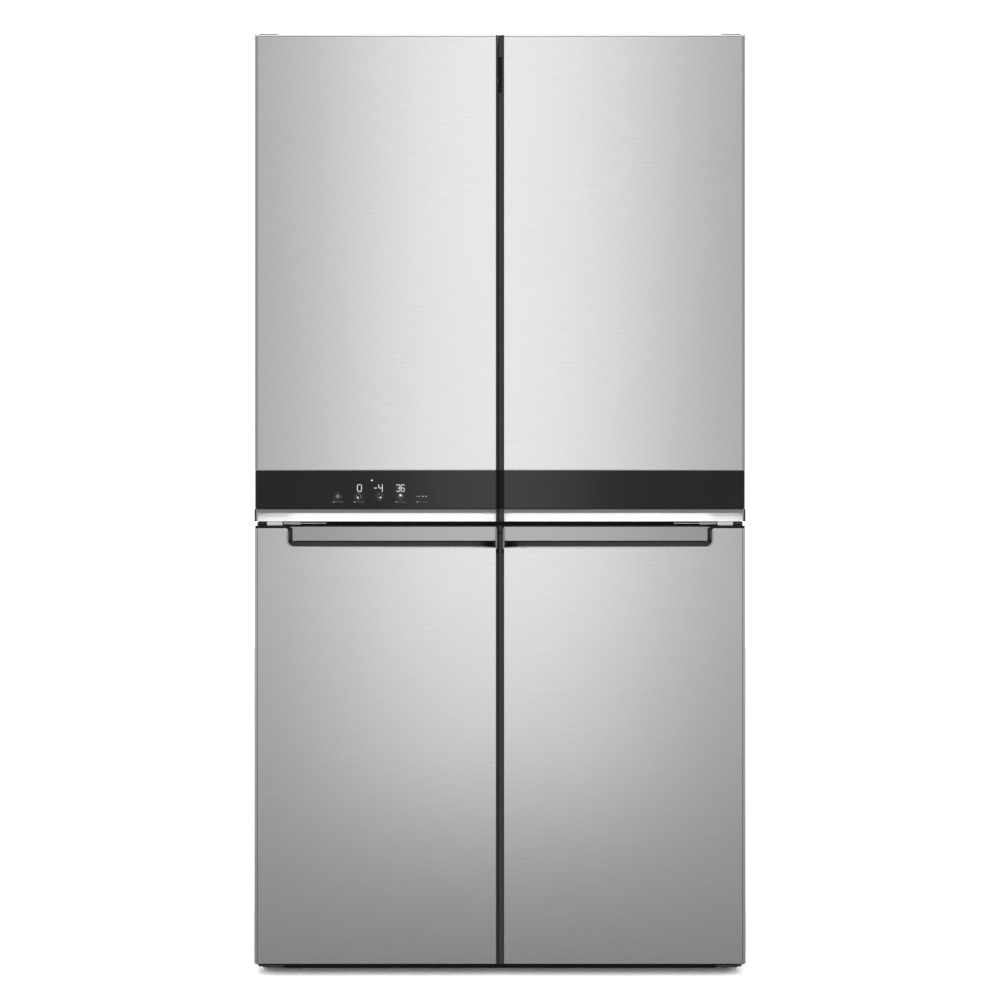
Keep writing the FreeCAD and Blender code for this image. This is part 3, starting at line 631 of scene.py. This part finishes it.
def cove(side, flip):
    """The polished cove under the glass: a quarter round that ends in a flared lip."""
    x, z = span("handle_cove_right")[::2]
    body = f"upper_door_{side}"
    centre = (FACE_Y - 3.5 * MM, z[0])
    outer = 23.4 * MM
    inner = 21.5 * MM
    start = 72
    flare = 17
    section = arc(centre, inner, start, flare, 16)
    lip = section[-1][0] - 1.2 * MM
    section += [(lip, z[0]), (lip + 0.6 * MM, z[0])]
    section += arc(centre, outer, flare - 4, start, 14)
    shape = Shape()
    shape.plate(section, "x", *x)
    build(f"cove_strip_{side}", shape, body, ALUMINIUM, flip, f"handle_cove_{side}",
          bevel=0.3 * MM, angle=60, segments=3)
    carrier = Shape()
    carrier.block((x[0], x[1] - MM), behind(1.6, 7), (z[0] + 15.6 * MM, z[0] + 22.6 * MM))
    build(f"band_carrier_{side}", carrier, body, CARRIER, flip)


# Section of the bellows seal as (inset, depth), in millimetres.
SEAL_SECTION = ((0, 0), (14, 0), (14, 1.6), (11.6, 2.4), (11.2, 4.6), (12.8, 6.2), (13.4, 8.4),
                (13.0, 11.4), (12.2, 12.2), (1.8, 12.2), (1.0, 11.4), (0.6, 8.4), (1.4, 6.2),
                (3.0, 4.6), (2.6, 2.4), (0, 1.6))


def seal(side, flip, level):
    """The bellows seal: one section carried round the door."""
    x, y, z = span(f"{level}_gasket_right")
    shape = Shape()
    shape.loft(rings("y", x, z, 6 * MM, y[0], SEAL_SECTION, 4), ring=True)
    build(f"{level}_seal_{side}", shape, f"{level}_door_{side}", GASKET, flip,
          f"{level}_gasket_{side}", bevel=0)


# Thickness of each inner door's raised wall and the heights it runs between.
PLUG_WALL = {"upper": 14 * MM, "lower": 13 * MM}
PLUG_Z = {"upper": mm(883, 1667), "lower": mm(108, 787)}
BIN_HEIGHT = {"upper": 105 * MM, "lower": 90 * MM}


def bin_levels(level):
    """Bottom of each bin, read from the model's stated openings."""
    found = []
    for entry in frame["record"]["physics"]["openings"]:
        if entry["name"].startswith(f"{level}_bin_space") and entry["name"].endswith("_right"):
            found.append(entry["box_m"][0][2] - 5 * MM)
    return sorted(found)


def inner_panel(side, flip, level):
    """The thermoformed inner door: a flat rim, a raised wall and ribs that hold the bins."""
    x, y, z = span(f"{level}_liner_right")
    body = f"{level}_door_{side}"
    inner_x = grown(span(f"{level}_bins_right")[0], 2 * MM)
    plug_x = grown(inner_x, PLUG_WALL[level])
    plug_z = PLUG_Z[level]
    inner_z = grown(plug_z, -PLUG_WALL[level])
    loops = [ring_loop("y", x, z, 4 * MM, 0, y[0])]
    loops += rings("y", x, z, 4 * MM, DOOR_BACK, ((0, -0.4), (0.5, 0)))
    loops += rings("y", plug_x, plug_z, 14 * MM, DOOR_BACK,
                   ((-3, 0), (-1, 0.6), (0, 3), (0.6, 22), (1.4, 25.4), (3.6, 27.2), (6, 27.5)))
    loops += rings("y", inner_x, inner_z, 10 * MM, DOOR_BACK,
                   ((-3.2, 27.2), (-1.2, 25.4), (-0.6, 22), (0, 4), (1.5, 1.4), (5, 0.6)))
    shape = Shape()
    shape.loft(loops)
    build(f"{level}_inner_panel_{side}", shape, body, LINER, flip, f"{level}_liner_{side}",
          bevel=0)
    ribs = Shape()
    for low in bin_levels(level):
        for start in (inner_x[0] - MM, inner_x[1] - 8 * MM):
            ribs.plate(rounded((start, start + 9 * MM), (low - 9 * MM, low - 0.6 * MM), 2 * MM, 3),
                       "y", DOOR_BACK, DOOR_BACK + 25 * MM)
    build(f"{level}_bin_ledges_{side}", ribs, body, LINER, flip, bevel=0.6 * MM)


def tub(x, y, z, wall, radius, lean, fillet, lip=0.0):
    """An open-topped tub with round corners, a round bottom edge and a rolled rim."""
    def bottom(step, inset, low):
        angle = math.radians(30 * step)
        return ring_loop("z", x, y, radius, inset + fillet * (1 - math.sin(angle)),
                         low + fillet * (1 - math.cos(angle)))

    loops = [bottom(step, lean, z[0]) for step in range(4)]
    if lip:
        loops.append(ring_loop("z", x, y, radius, lip, z[1] - 9 * MM))
        loops.append(ring_loop("z", x, y, radius, 0, z[1] - 8.4 * MM))
    rim = wall + lip
    for inset, drop in ((0, 0.7), (0.6 * MM, 0), (rim - 0.6 * MM, 0), (rim, 0.7)):
        loops.append(ring_loop("z", x, y, radius, inset, z[1] - drop * MM))
    loops += [bottom(step, lean + wall, z[0] + wall) for step in range(3, -1, -1)]
    shape = Shape()
    shape.loft(loops)
    return shape


def door_bins(side, flip, level):
    """Clear bins, each with a bright trim bar round it."""
    x, y, z = span(f"{level}_bins_right")
    body = f"{level}_door_{side}"
    for number, low in enumerate(bin_levels(level), 1):
        top = low + BIN_HEIGHT[level]
        build(f"{level}_bin_{number}_{side}",
              tub(x, y, (low, top), 2.6 * MM, 16 * MM, 2.5 * MM, 8 * MM), body, CLEAR, flip,
              f"{level}_bins_{side}" if number == 1 else None, bevel=0)
        bar = Shape()
        bar.loft(rings("z", x, y, 16 * MM, top, ((0, -21), (0, -9), (0.5, -8), (1.5, -8),
                                                 (1.5, -22), (0.5, -22))), ring=True)
        build(f"{level}_bin_bar_{number}_{side}", bar, body, FRAME_WHITE, flip, bevel=0)


# ------------------------------------------------------------------ controls
DIGITS = {
    "0": [[(0, 1), (0, 9), (1, 10), (4, 10), (5, 9), (5, 1), (4, 0), (1, 0), (0, 1)]],
    "3": [[(0, 9), (1, 10), (4, 10), (5, 9), (5, 6), (4, 5), (2, 5)],
          [(4, 5), (5, 4), (5, 1), (4, 0), (1, 0), (0, 1)]],
    "4": [[(0, 10), (0, 6), (1, 5), (5, 5)], [(5, 10), (5, 0)]],
    "6": [[(5, 9), (4, 10), (1, 10), (0, 9), (0, 1), (1, 0), (4, 0), (5, 1), (5, 4), (4, 5),
           (0, 5)]],
    "-": [[(1, 5), (4, 5)]],
}
INK_REACH = behind(-0.12, 0.1)


def stroke(shape, points, width):
    """A flat line of ink through points on the glass, (x, z) in metres; width in millimetres."""
    for (u0, v0), (u1, v1) in zip(points, points[1:]):
        along = Vector((u1 - u0, v1 - v0)).normalized() * width * MM / 2
        across = Vector((-along.y, along.x))
        a = Vector((u0, v0)) - along
        b = Vector((u1, v1)) + along
        shape.plate([tuple(a - across), tuple(b - across), tuple(b + across), tuple(a + across)],
                    "y", *INK_REACH)


def controls():
    """Set temperatures, five function marks and their underlines on the left-hand glass."""
    x, z = span("glass_band_left")[::2]
    centre = (z[0] + z[1]) / 2
    pitch = 38.5 * MM
    first = x[0] + 153.8 * MM
    lit = Shape()
    grey = Shape()
    faint = Shape()

    def digits(text, left, wide, tall=12.4 * MM):
        low = centre - 3.2 * MM
        for symbol in text:
            for line in DIGITS[symbol]:
                stroke(lit, [(left + u * wide / 5, low + v * tall / 10) for u, v in line], 1.25)
            left += wide + 2.4 * MM

    def dash(target, u, v, reach, width):
        stroke(target, [(u + reach[0] * MM, v), (u + reach[1] * MM, v)], width)

    def outline(target, middle, low, wide, tall, corner, width):
        points = rounded((middle - wide / 2, middle + wide / 2), (low, low + tall), corner, 3)
        stroke(target, points + points[:1], width)

    digits("0", first + pitch - 2.4 * MM, 7.6 * MM)
    digits("-4", first + 2 * pitch - 10.6 * MM, 6.6 * MM)
    digits("36", first + 3 * pitch - 7 * MM, 5.8 * MM)
    dash(lit, first, centre + 17.2 * MM, (62.3, 63.3), 2.2)

    row = centre - 19.2 * MM
    middle_z = row + 6.9 * MM
    for index in range(5):
        middle = first + index * pitch
        if index < 4:
            outline(faint, middle, row, *mm(13.6, 13.6, 1.6), 0.9)
        if index in (1, 2, 3):
            outline(grey, middle, middle_z - 4.6 * MM, *mm(6.6, 9.2, 1.4), 0.8)
        if index != 2:
            dash(grey, middle, row - 3.4 * MM, (-8.4, -6.4), 1.9)
            dash(faint, middle, row - 3.4 * MM, (-5, 9.6), 1.7)
    ray = 4 * MM
    for turn in range(0, 180, 45):
        reach_u = ray * math.cos(math.radians(turn))
        reach_v = ray * math.sin(math.radians(turn))
        stroke(grey, [(first - reach_u, middle_z - reach_v), (first + reach_u, middle_z + reach_v)],
               1.0)
    for index, shift_u, shift_v, size in ((1, -1.4, -2.2, 2.4), (2, 1.4, -2.2, 2.4),
                                          (3, 0, 1.9, 3.4)):
        dash(lit, first + index * pitch + shift_u * MM, middle_z + shift_v * MM, (-0.3, 0.3), size)
    for shift, size in ((-9, 1.3), (-4.2, 1.9), (2.6, 2.4), (8.6, 2.4)):
        dash(grey, first + 4 * pitch + shift * MM, middle_z, (-0.7, 0.7), size)
    for name, marks, material in (("display_lit", lit, INK_LIT), ("display_grey", grey, INK_MID),
                                  ("display_faint", faint, INK_FAINT)):
        build(name, marks, "upper_door_left", material, bevel=0)


# ------------------------------------------------------------------ gaps and hinges
def gap_strips():
    """Dark strips on the right-hand doors that close most of the gap between the doors; the black
    segments across the band and near the top, and the black cap at the head, are painted shade of
    the deep gap.
    """
    inner = TRIM_X + 0.3 * MM
    band = grown(span("glass_band_right")[2], MM)
    upper = span("upper_trim_right")[2]
    lower = span("lower_trim_right")[2]
    dark = (upper[1] - 107 * MM, upper[1] - 41 * MM)
    for name, level, spans, material in (
            ("upper", "upper", ((upper[0], band[0]), (band[1], dark[0]),
                                (dark[1], upper[1] - MM)), TRIM),
            # The black segments across the control band and near the top are painted shade of the
            # deep gap.
            ("upper_shade", "upper", (band, dark), CAP_BLACK),
            ("lower", "lower", ((lower[0], LOWER_TOP - 14 * MM), (LOWER_TOP - 12 * MM, lower[1])),
             TRIM)):
        shape = Shape()
        for heights in spans:
            shape.block((-2.4 * MM, inner), behind(5.4, 19), heights)
        build(f"gap_strip_{name}", shape, f"{level}_door_right", material,
              bevel=0.5 * MM)
    # A black cap at the head of the gap: painted shade.
    cap = Shape()
    cap.block((-3.8 * MM, inner), behind(4.4, 18), (upper[1] - 3.6 * MM, upper[1] - 0.5 * MM))
    build("gap_shade_cap", cap, "upper_door_right", CAP_BLACK)


def gap_lips():
    """A soft rubber lip behind the strip of each right-hand door, almost up to its neighbour."""
    section = ((4, 30), (4, 26), (0.4, 21.6), (-3.84, 21.2), (-3.92, 22), (-1, 23.4))
    for level in ("upper", "lower"):
        low, high = grown(span(f"{level}_trim_right")[2], -MM)
        lip = Shape()
        lip.plate([(u * MM, FACE_Y + v * MM) for u, v in section], "z", low, high)
        build(f"gap_lip_{level}", lip, f"{level}_door_right", CAP_BLACK,
              bevel=0.1 * MM)


# Where the right-hand doors' hinge line stands.
HINGE_LINE = mm(441, -330)


def hinge_fittings(side, flip):
    """The visible front of the middle hinge: a plate in white as a painted reflection of bright
    zinc, block, tie and rubber bush.
    """
    high = LOWER_TOP + 7.4 * MM
    plate = Shape()
    plate.block(mm(402, 430.5), behind(13.6, 16.4), (LOWER_TOP + 0.5 * MM, high))
    # The plate is white plastic: its brightness is a painted reflection of a bright zinc plate.
    build(f"hinge_plate_{side}", plate, "cabinet", HINGE_SHEEN, flip,
          bevel=0.5 * MM, segments=3)
    block = Shape()
    block.block(mm(368.5, 401.4), behind(19, 27), (LOWER_TOP + 1.6 * MM, high))
    build(f"hinge_block_{side}", block, "cabinet", GRIP_STEEL, flip,
          bevel=1.2 * MM, segments=3)
    tie = Shape()
    tie.tube([(x, FACE_Y + 24 * MM, LOWER_TOP + 4.6 * MM) for x in mm(322, 345, 369)], MM)
    build(f"hinge_tie_{side}", tie, "cabinet", HINGE_STEEL, flip, bevel=0)
    bush = Shape()
    bush.lathe([(radius * MM, LOWER_TOP + rise * MM)
                for radius, rise in ((7.2, 0.5), (8.6, 1.2), (8.6, 6.8), (7.2, 7.6))],
               HINGE_LINE)
    build(f"hinge_bush_{side}", bush, "cabinet", CAP_BLACK, flip,
          bevel=0.3 * MM)


def gap_shade_rail():
    """A black strip on the cabinet between the upper and lower door seals: painted shade of the gap
    between the doors.
    """
    low = span("lower_gasket_right")[2][1] + 0.6 * MM
    high = span("upper_gasket_right")[2][0] - 0.6 * MM
    rail = Shape()
    # The black strip is painted shade where the gap between the doors looks onto the cabinet.
    rail.block(span("freezer_liners")[0], (SEAL_Y - 0.5 * MM, SEAL_Y + 0.3 * MM), (low, high))
    build("gap_shade_rail", rail, "cabinet", TRIM, bevel=0.2 * MM)


def painted_shade_under_doors(side, flip):
    """A black skirt under the bottom hinge and a black lip under the kickplate, both clear of the
    floor: painted shade under the doors.
    """
    # Near-black blocks that stand for the shade under the doors.
    for name, x, y, z, bevel in (("shade_skirt", (399, 444), (-291, -285), (2, 13.4), 1.0),
                                 ("lip", (0, 402), (-291.5, -288.5), (1.2, 8), 0.5)):
        shape = Shape()
        shape.block(mm(*x), mm(*y), mm(*z))
        build(f"kick_{name}_{side}", shape, "cabinet", KICK, flip,
              bevel=bevel * MM)


for side, flip in SIDES:
    upper_skin(side, flip)
    control_band(side, flip)
    cove(side, flip)
    lower_skin(side, flip)
    grip(side, flip)
    for level in ("upper", "lower"):
        seal(side, flip, level)
        inner_panel(side, flip, level)
        door_bins(side, flip, level)
        dress(f"{level}_trim_{side}", TRIM, 0.3 * MM)
        dress(f"{level}_foam_{side}", FOAM)
controls()
gap_strips()
gap_lips()
gap_shade_rail()
for side, flip in SIDES:
    hinge_fittings(side, flip)
    painted_shade_under_doors(side, flip)


# ------------------------------------------------------------------ cabinet
# Undersides of the four shelves.
SHELF_LEVELS = mm(1053, 1212, 1372, 1527)


def cabinet_shell():
    """The folded steel wrap with round top corners and a front flange."""
    x, y, z = span("cabinet_shell")
    radius = 5 * MM
    outer = [(x[1], z[0])] + arc((x[1] - radius, z[1] - radius), radius, 0, 90, 6)
    outer += arc((x[0] + radius, z[1] - radius), radius, 90, 180, 6) + [(x[0], z[0])]
    inner = [(x[0] + MM, z[0])] + arc((x[0] + radius, z[1] - radius), radius - MM, 180, 90, 6)
    inner += arc((x[1] - radius, z[1] - radius), radius - MM, 90, 0, 6) + [(x[1] - MM, z[0])]
    shape = Shape()
    shape.plate(outer + inner, "y", y[0] + 0.9 * MM, y[1])
    mouth_x = grown(x, -23.5 * MM)
    mouth_z = (60 * MM, z[1] - 27 * MM)
    flange = rings("y", x, z, radius, y[0], ((0, 1), (0.4, 0.3), (1.0, 0)))
    flange += rings("y", mouth_x, mouth_z, 2 * MM, y[0], ((0, 0), (0, 1)))
    shape.loft(flange, ring=True)
    build("cabinet_wrap", shape, "cabinet", PAINT, replaces="cabinet_shell", bevel=0)


def back_panel():
    """The flat back with five pressed stiffening ribs."""
    x, y, z = span("back_panel")
    count = 5
    tall = grown(z, -60 * MM)
    shape = Shape()
    shape.block(x, (y[1] - 1.2 * MM, y[1] - 0.8 * MM), z)
    for index in range(count):
        middle = x[0] + (index + 0.5) * (x[1] - x[0]) / count
        shape.loft(rings("y", grown((middle, middle), 62 * MM), tall, 24 * MM, y[1],
                         ((0, -0.95), (0.5, -0.15), (0.9, 0), (13, 0), (13.4, -0.15),
                          (13.9, -0.95))), ring=True)
    build("back_sheet", shape, "cabinet", ZINC, replaces="back_panel", bevel=0.2 * MM)


def cavity(x, top, mouth_x, mouth_z, front, steps, radius):
    """A liner: its outside, a rim, a round mouth edge, then the inside down to the back.

    Each step is the cavity's floor height and how far back it reaches.
    """
    wall = 2.4 * MM
    fillet = 16 * MM
    rim = 3
    floor = steps[0][0]
    outside = grown(x, wall)
    loops = [ring_loop("y", outside, (low - wall, top + wall), radius + wall, 0, depth + wall)
             for low, depth in reversed(steps)]
    loops += rings("y", outside, (floor - wall, top + wall), radius + wall, front, ((0, rim),))
    loops += rings("y", mouth_x, mouth_z, 8 * MM, front, ((0, rim), (0, 0.8), (0.8, 0)))
    loops += rings("y", x, (floor, top), radius, front, ((-5, 0), (-2.5, 0.6), (-0.8, 2), (0, 5)))
    for low, depth in steps:
        last = (low, depth) == steps[-1]
        for step in range(4):
            angle = math.radians(30 * step)
            inset = fillet * (1 - math.cos(angle)) if last else 0.2 * MM * step
            back = depth - fillet * (1 - math.sin(angle)) if last else depth - 4 * MM + step * MM
            loops.append(ring_loop("y", x, (low, top), radius, inset, back))
    shape = Shape()
    shape.loft(loops)
    return shape


def fridge_liner():
    """The upper cavity with its shelf ledges and the runs under the crispers."""
    low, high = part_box("fridge_liner")
    base, top = mm(873, 1677)
    shape = cavity(mm(-400, 400), top, (low[0], high[0]), (low[2], high[2]), low[1],
                   [(base, high[1] - 3 * MM)], 20 * MM)
    for shelf in SHELF_LEVELS:
        for side in (mm(-401, -386), mm(386, 401)):
            shape.loft(rings("y", side, (shelf - 9 * MM, shelf - 0.5 * MM), 3 * MM, 0,
                             ((2, -162), (0, -158), (0, 246), (2, 250)), 3))
    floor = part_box("crisper_right")[0][2] - 0.5 * MM
    for run in (mm(-20, 20), mm(368, 401), mm(-401, -368)):
        shape.block(run, mm(-145, 250), (base - MM, floor))
    build("fridge_cavity", shape, "cabinet", LINER, replaces="fridge_liner", bevel=0)


def freezer_liners():
    """The two lower cavities, stepped over the machine room, and the cover between them."""
    low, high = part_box("freezer_liners")
    drawers = [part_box(f"drawer_{name}_right") for name in ("low", "mid", "top")]
    for side, flip in SIDES:
        shape = cavity(mm(35, 390), 795 * MM, (0.5 * MM, high[0]), (low[2], high[2]), low[1],
                       [mm(100, 120), (330 * MM, high[1] - 3 * MM)], 16 * MM)
        for front, back in drawers:
            for run in (mm(34, 56), mm(369, 391)):
                shape.block(run, (-190 * MM, back[1]), (front[2] - 8 * MM, front[2] - 0.5 * MM))
        build(f"freezer_cavity_{side}", shape, "cabinet", LINER, flip,
              "freezer_liners" if side == "right" else None, bevel=0)
    cover = Shape()
    cover.loft(rings("y", mm(-33, 33), (low[2] + 4 * MM, high[2] - 4 * MM), 4 * MM, low[1],
                     ((0, 0.4), (0, -0.05), (0.4, -0.22))))
    build("mullion_cover", cover, "cabinet", FLAP_FACE, bevel=0)


def drawer(node, body, flip):
    """A clear drawer with a thick, notched front and a finger rail."""
    x, y, z = span(node.replace("left", "right"))
    build(f"{node}_tub",
          tub(x, (y[0] + 5 * MM, y[1]), (z[0], z[1] - 2 * MM), *mm(2.8, 14, 3, 9, 2.2)), body,
          CLEAR, flip, node, bevel=0)
    middle = (x[0] + x[1]) / 2
    half = 60 * MM
    corner = 6 * MM
    notch = z[1] - 13 * MM + corner
    low = z[0] + corner
    high = z[1] - corner
    outline = []
    for u, v, start, end in ((x[0] + corner, low, 270, 180), (x[0] + corner, high, 180, 90),
                             (middle - half - corner, high, 90, 0),
                             (middle - half + corner, notch, 180, 270),
                             (middle + half - corner, notch, 270, 360),
                             (middle + half + corner, high, 180, 90),
                             (x[1] - corner, high, 90, 0), (x[1] - corner, low, 0, -90)):
        outline += arc((u, v), corner, start, end, 4)
    front = Shape()
    front.plate(outline, "y", y[0], y[0] + 6.5 * MM)
    build(f"{node}_front", front, body, CLEAR, flip, bevel=1.4 * MM, segments=3)
    section = ((y[0] - 0.2 * MM, y[0] + 7 * MM), (z[1] - 26 * MM, z[1] - 14 * MM), 2.4 * MM)
    rail = Shape()
    rail.loft(rings("x", *section, x[0], ((1.5, 2), (0, 4)))
              + rings("x", *section, x[1], ((0, -4), (1.5, -2))))
    build(f"{node}_rail", rail, body, FRAME_WHITE, flip, bevel=0)


# Turned sections in millimetres: (radius, height) of a foot, (radius, width) of a roller.
FOOT = ((11, 0), (15.4, 0), (16.8, 1), (17, 2.6), (17, 5.4), (15.8, 7.4), (12, 8), (8.4, 8.4),
        (8, 11), (4.8, 11.2))
ROLLER = ((3.1, 0.0), (6, 0), (7, 1.2), (10, 1.6), (12, 0.4), (13.4, 0.6), (14, 1.6), (14, 16.4),
          (13.4, 17.4), (12, 17.6), (10, 16.4), (7, 16.8), (6, 18), (3.1, 18))


def feet_and_rollers(side, flip):
    """A levelling foot with its thread and a rear roller."""
    x, y = span("foot_right")[:2]
    centre = ((x[0] + x[1]) / 2, (y[0] + y[1]) / 2)
    foot = Shape()
    foot.lathe([mm(*point) for point in FOOT], centre)
    thread = [mm(4.6 if turn % 2 else 4.98, 11.2 + turn * 0.55) for turn in range(30)]
    foot.lathe(thread, centre, 24)
    build(f"levelling_foot_{side}", foot, f"foot_{side}", CAP_BLACK, flip, f"foot_{side}",
          0.3 * MM)
    x, y, z = span("roller_right")
    steps = 40
    loops = []
    for radius, width in ROLLER:
        rim = arc(((y[0] + y[1]) / 2, (z[0] + z[1]) / 2), radius * MM, 0, 360, steps)[:-1]
        loops.append([(x[0] + width * MM, u, v) for u, v in rim])
    wheel = Shape()
    wheel.loft(loops, ring=True)
    build(f"roller_wheel_{side}", wheel, f"roller_{side}", CAP_BLACK, flip, f"roller_{side}",
          0)


# Carried-over CAD nodes: material and bevel in millimetres.
for node, material, bevel in (
        ("hinge_brackets", HINGE_PAINT, 0.4), ("hinge_covers", CAP_BLACK, 0.4),
        ("kickplate", KICK, 0.4), ("base_frame", ZINC, 0.0), ("air_tower", FRAME_WHITE, 0.6),
        ("freezer_air_covers", FRAME_WHITE, 0.4), ("heat_exchangers", FINS, 0.0),
        ("compressor", ENAMEL, 0.5), ("machine_cover", ZINC, 0.2), ("power_inlet", CAP_BLACK, 0.4),
        ("shelf_glass", PANE, 0.5), ("shelf_frames", FRAME_WHITE, 0.8), ("light_strips", LAMP, 1.0),
        ("mullion_flap", FLAP_FACE, 1.0), ("condenser_fan", CAP_BLACK, 0.3),
        ("cabinet_foam", FOAM, 0.0)):
    dress(node, material, bevel * MM)

cabinet_shell()
back_panel()
fridge_liner()
freezer_liners()
for side, flip in SIDES:
    feet_and_rollers(side, flip)
for side, flip in SIDES:
    drawer(f"crisper_{side}", f"crisper_{side}", flip)
    for level in ("low", "mid", "top"):
        drawer(f"drawer_{level}_{side}", f"freezer_drawer_{level}_{side}", flip)


# ------------------------------------------------------------------ studio
# Brightness of the room by direction: a tall soft light in front and a pale floor below.
# ACROSS runs over how far a direction points sideways; UPWARD and AMBIENT run from straight
# down (0) over the horizon (0.5) to straight up (1).
GLOW = 1.45
ACROSS = ((0.0, 1.0), (0.04, 0.8), (0.1, 0.08), (0.2, 0.0), (0.3, 0.1), (0.5, 0.42),
          (0.8, 0.42), (1.0, 0.15))
UPWARD = ((0.0, 0.0), (0.415, 0.0), (0.45, 0.72), (0.515, 1.0), (0.72, 1.0), (0.8, 0.3),
          (1.0, 0.3))
AMBIENT = ((0.0, 1.1), (0.31, 1.25), (0.36, 0.2), (0.385, 0.28), (0.41, 0.54), (0.468, 0.62),
           (0.484, 0.8), (0.496, 0.6), (0.56, 0.62), (0.64, 0.6), (0.74, 1.0), (0.85, 1.35),
           (1.0, 1.35))
BRIGHTEST = 2.0
HALF_ROOM = 9


def math_node(tree, operation, *values):
    """One step of arithmetic on the room's brightness."""
    node = tree.nodes.new("ShaderNodeMath")
    node.operation = operation
    for socket, value in zip(node.inputs, values):
        if isinstance(value, (int, float)):
            socket.default_value = value
        else:
            tree.links.new(value, socket)
    return node.outputs["Value"]


def ramp_colour(level):
    """A brightness as a ramp holds it, scaled down to lie between 0 and 1."""
    return (level / BRIGHTEST, level / BRIGHTEST, level / BRIGHTEST, 1)


def curve(tree, source, stops):
    """A smooth curve of brightness over a value between 0 and 1."""
    node = tree.nodes.new("ShaderNodeValToRGB")
    node.color_ramp.interpolation = "EASE"
    elements = node.color_ramp.elements
    elements[0].position = stops[0][0]
    elements[1].position = stops[-1][0]
    elements[0].color = ramp_colour(stops[0][1])
    elements[1].color = ramp_colour(stops[-1][1])
    for position, level in stops[1:-1]:
        elements.new(position).color = ramp_colour(level)
    tree.links.new(source, node.inputs["Fac"])
    return math_node(tree, "MULTIPLY", node.outputs["Color"], BRIGHTEST)


def room():
    """The world's light, by direction."""
    world = bpy.data.worlds.new("studio")
    bpy.context.scene.world = world
    world.use_nodes = True
    tree = world.node_tree
    background = tree.nodes["Background"]
    background.inputs["Color"].default_value = (1, 1, 1, 1)
    coords = tree.nodes.new("ShaderNodeTexCoord")
    split = tree.nodes.new("ShaderNodeSeparateXYZ")
    tree.links.new(coords.outputs["Generated"], split.inputs["Vector"])
    sideways = math_node(tree, "ABSOLUTE", split.outputs["X"])
    height = math_node(tree, "MULTIPLY_ADD", split.outputs["Z"], 0.5, 0.5)
    glow = math_node(tree, "MULTIPLY", curve(tree, sideways, ACROSS), curve(tree, height, UPWARD))
    total = math_node(tree, "MULTIPLY_ADD", glow, GLOW, curve(tree, height, AMBIENT))
    tree.links.new(total, background.inputs["Strength"])


def sheet(name, corners, material):
    """A flat piece of the studio that reflections don't show."""
    mesh = bpy.data.meshes.new(name)
    mesh.from_pydata(corners, [], [(0, 1, 2, 3)])
    mesh.materials.append(material)
    item = bpy.data.objects.new(name, mesh)
    bpy.context.scene.collection.objects.link(item)
    item.visible_glossy = False
    return item


def soft_light(name, spot, size, power):
    """A wide area light; it looks straight down until it is turned."""
    data = bpy.data.lights.new(name, "AREA")
    data.shape = "RECTANGLE"
    data.size, data.size_y = size
    data.energy = power
    light = bpy.data.objects.new(name, data)
    light.location = spot
    bpy.context.scene.collection.objects.link(light)
    return light


def studio():
    """A pale floor, white walls that only the camera sees, and two soft lights."""
    room()
    look = Look("studio_floor", (0.9, 0.9, 0.9), 0.8)
    look.tint(look.field(2, Detail=2.0), (0.3, (0.9, 0.9, 0.9)), (0.7, (0.91, 0.91, 0.91)))
    near, far = -HALF_ROOM, HALF_ROOM
    plan = [(near, near), (far, near), (far, far), (near, far)]
    floor = sheet("studio_floor", [(x, y, 0) for x, y in plan], look.material)
    look = Look("studio_backdrop", (0.9, 0.9, 0.9), 0.9, Emission_Color=(1, 1, 1, 1),
                Emission_Strength=1.0)
    for name, (x0, y0), (x1, y1) in (("north", plan[3], plan[2]), ("south", plan[1], plan[0]),
                                     ("east", plan[2], plan[1]), ("west", plan[0], plan[3])):
        wall = sheet(f"studio_{name}", [(x0, y0, 0), (x1, y1, 0), (x1, y1, far), (x0, y0, far)],
                     look.material)
        wall.visible_diffuse = False
        wall.visible_shadow = False

    soft_light("top_box", (0, -0.6, 4.4), (5, 5), 70)
    fill = soft_light("floor_fill", (0, FACE_Y - 1.7, 0.78), (2.2, 1.5), 52)
    fill.rotation_euler = (math.radians(90), 0, 0)
    fill.visible_camera = False
    fill.visible_glossy = False
    lit = bpy.data.collections.new("floor_only")
    lit.objects.link(floor)
    fill.light_linking.receiver_collection = lit


def camera():
    """Looks straight at the doors from their middle height."""
    distance = 4.2
    view_width = 1.8413
    data = bpy.data.cameras.new("front")
    data.sensor_width = 36
    data.lens = data.sensor_width * distance / view_width
    item = bpy.data.objects.new("front", data)
    item.location = (0, FACE_Y - distance, 0.8765)
    item.rotation_euler = (math.radians(90), 0, 0)
    bpy.context.scene.collection.objects.link(item)
    bpy.context.scene.camera = item


studio()
camera()
bpy.context.scene.view_settings.view_transform = "Standard"
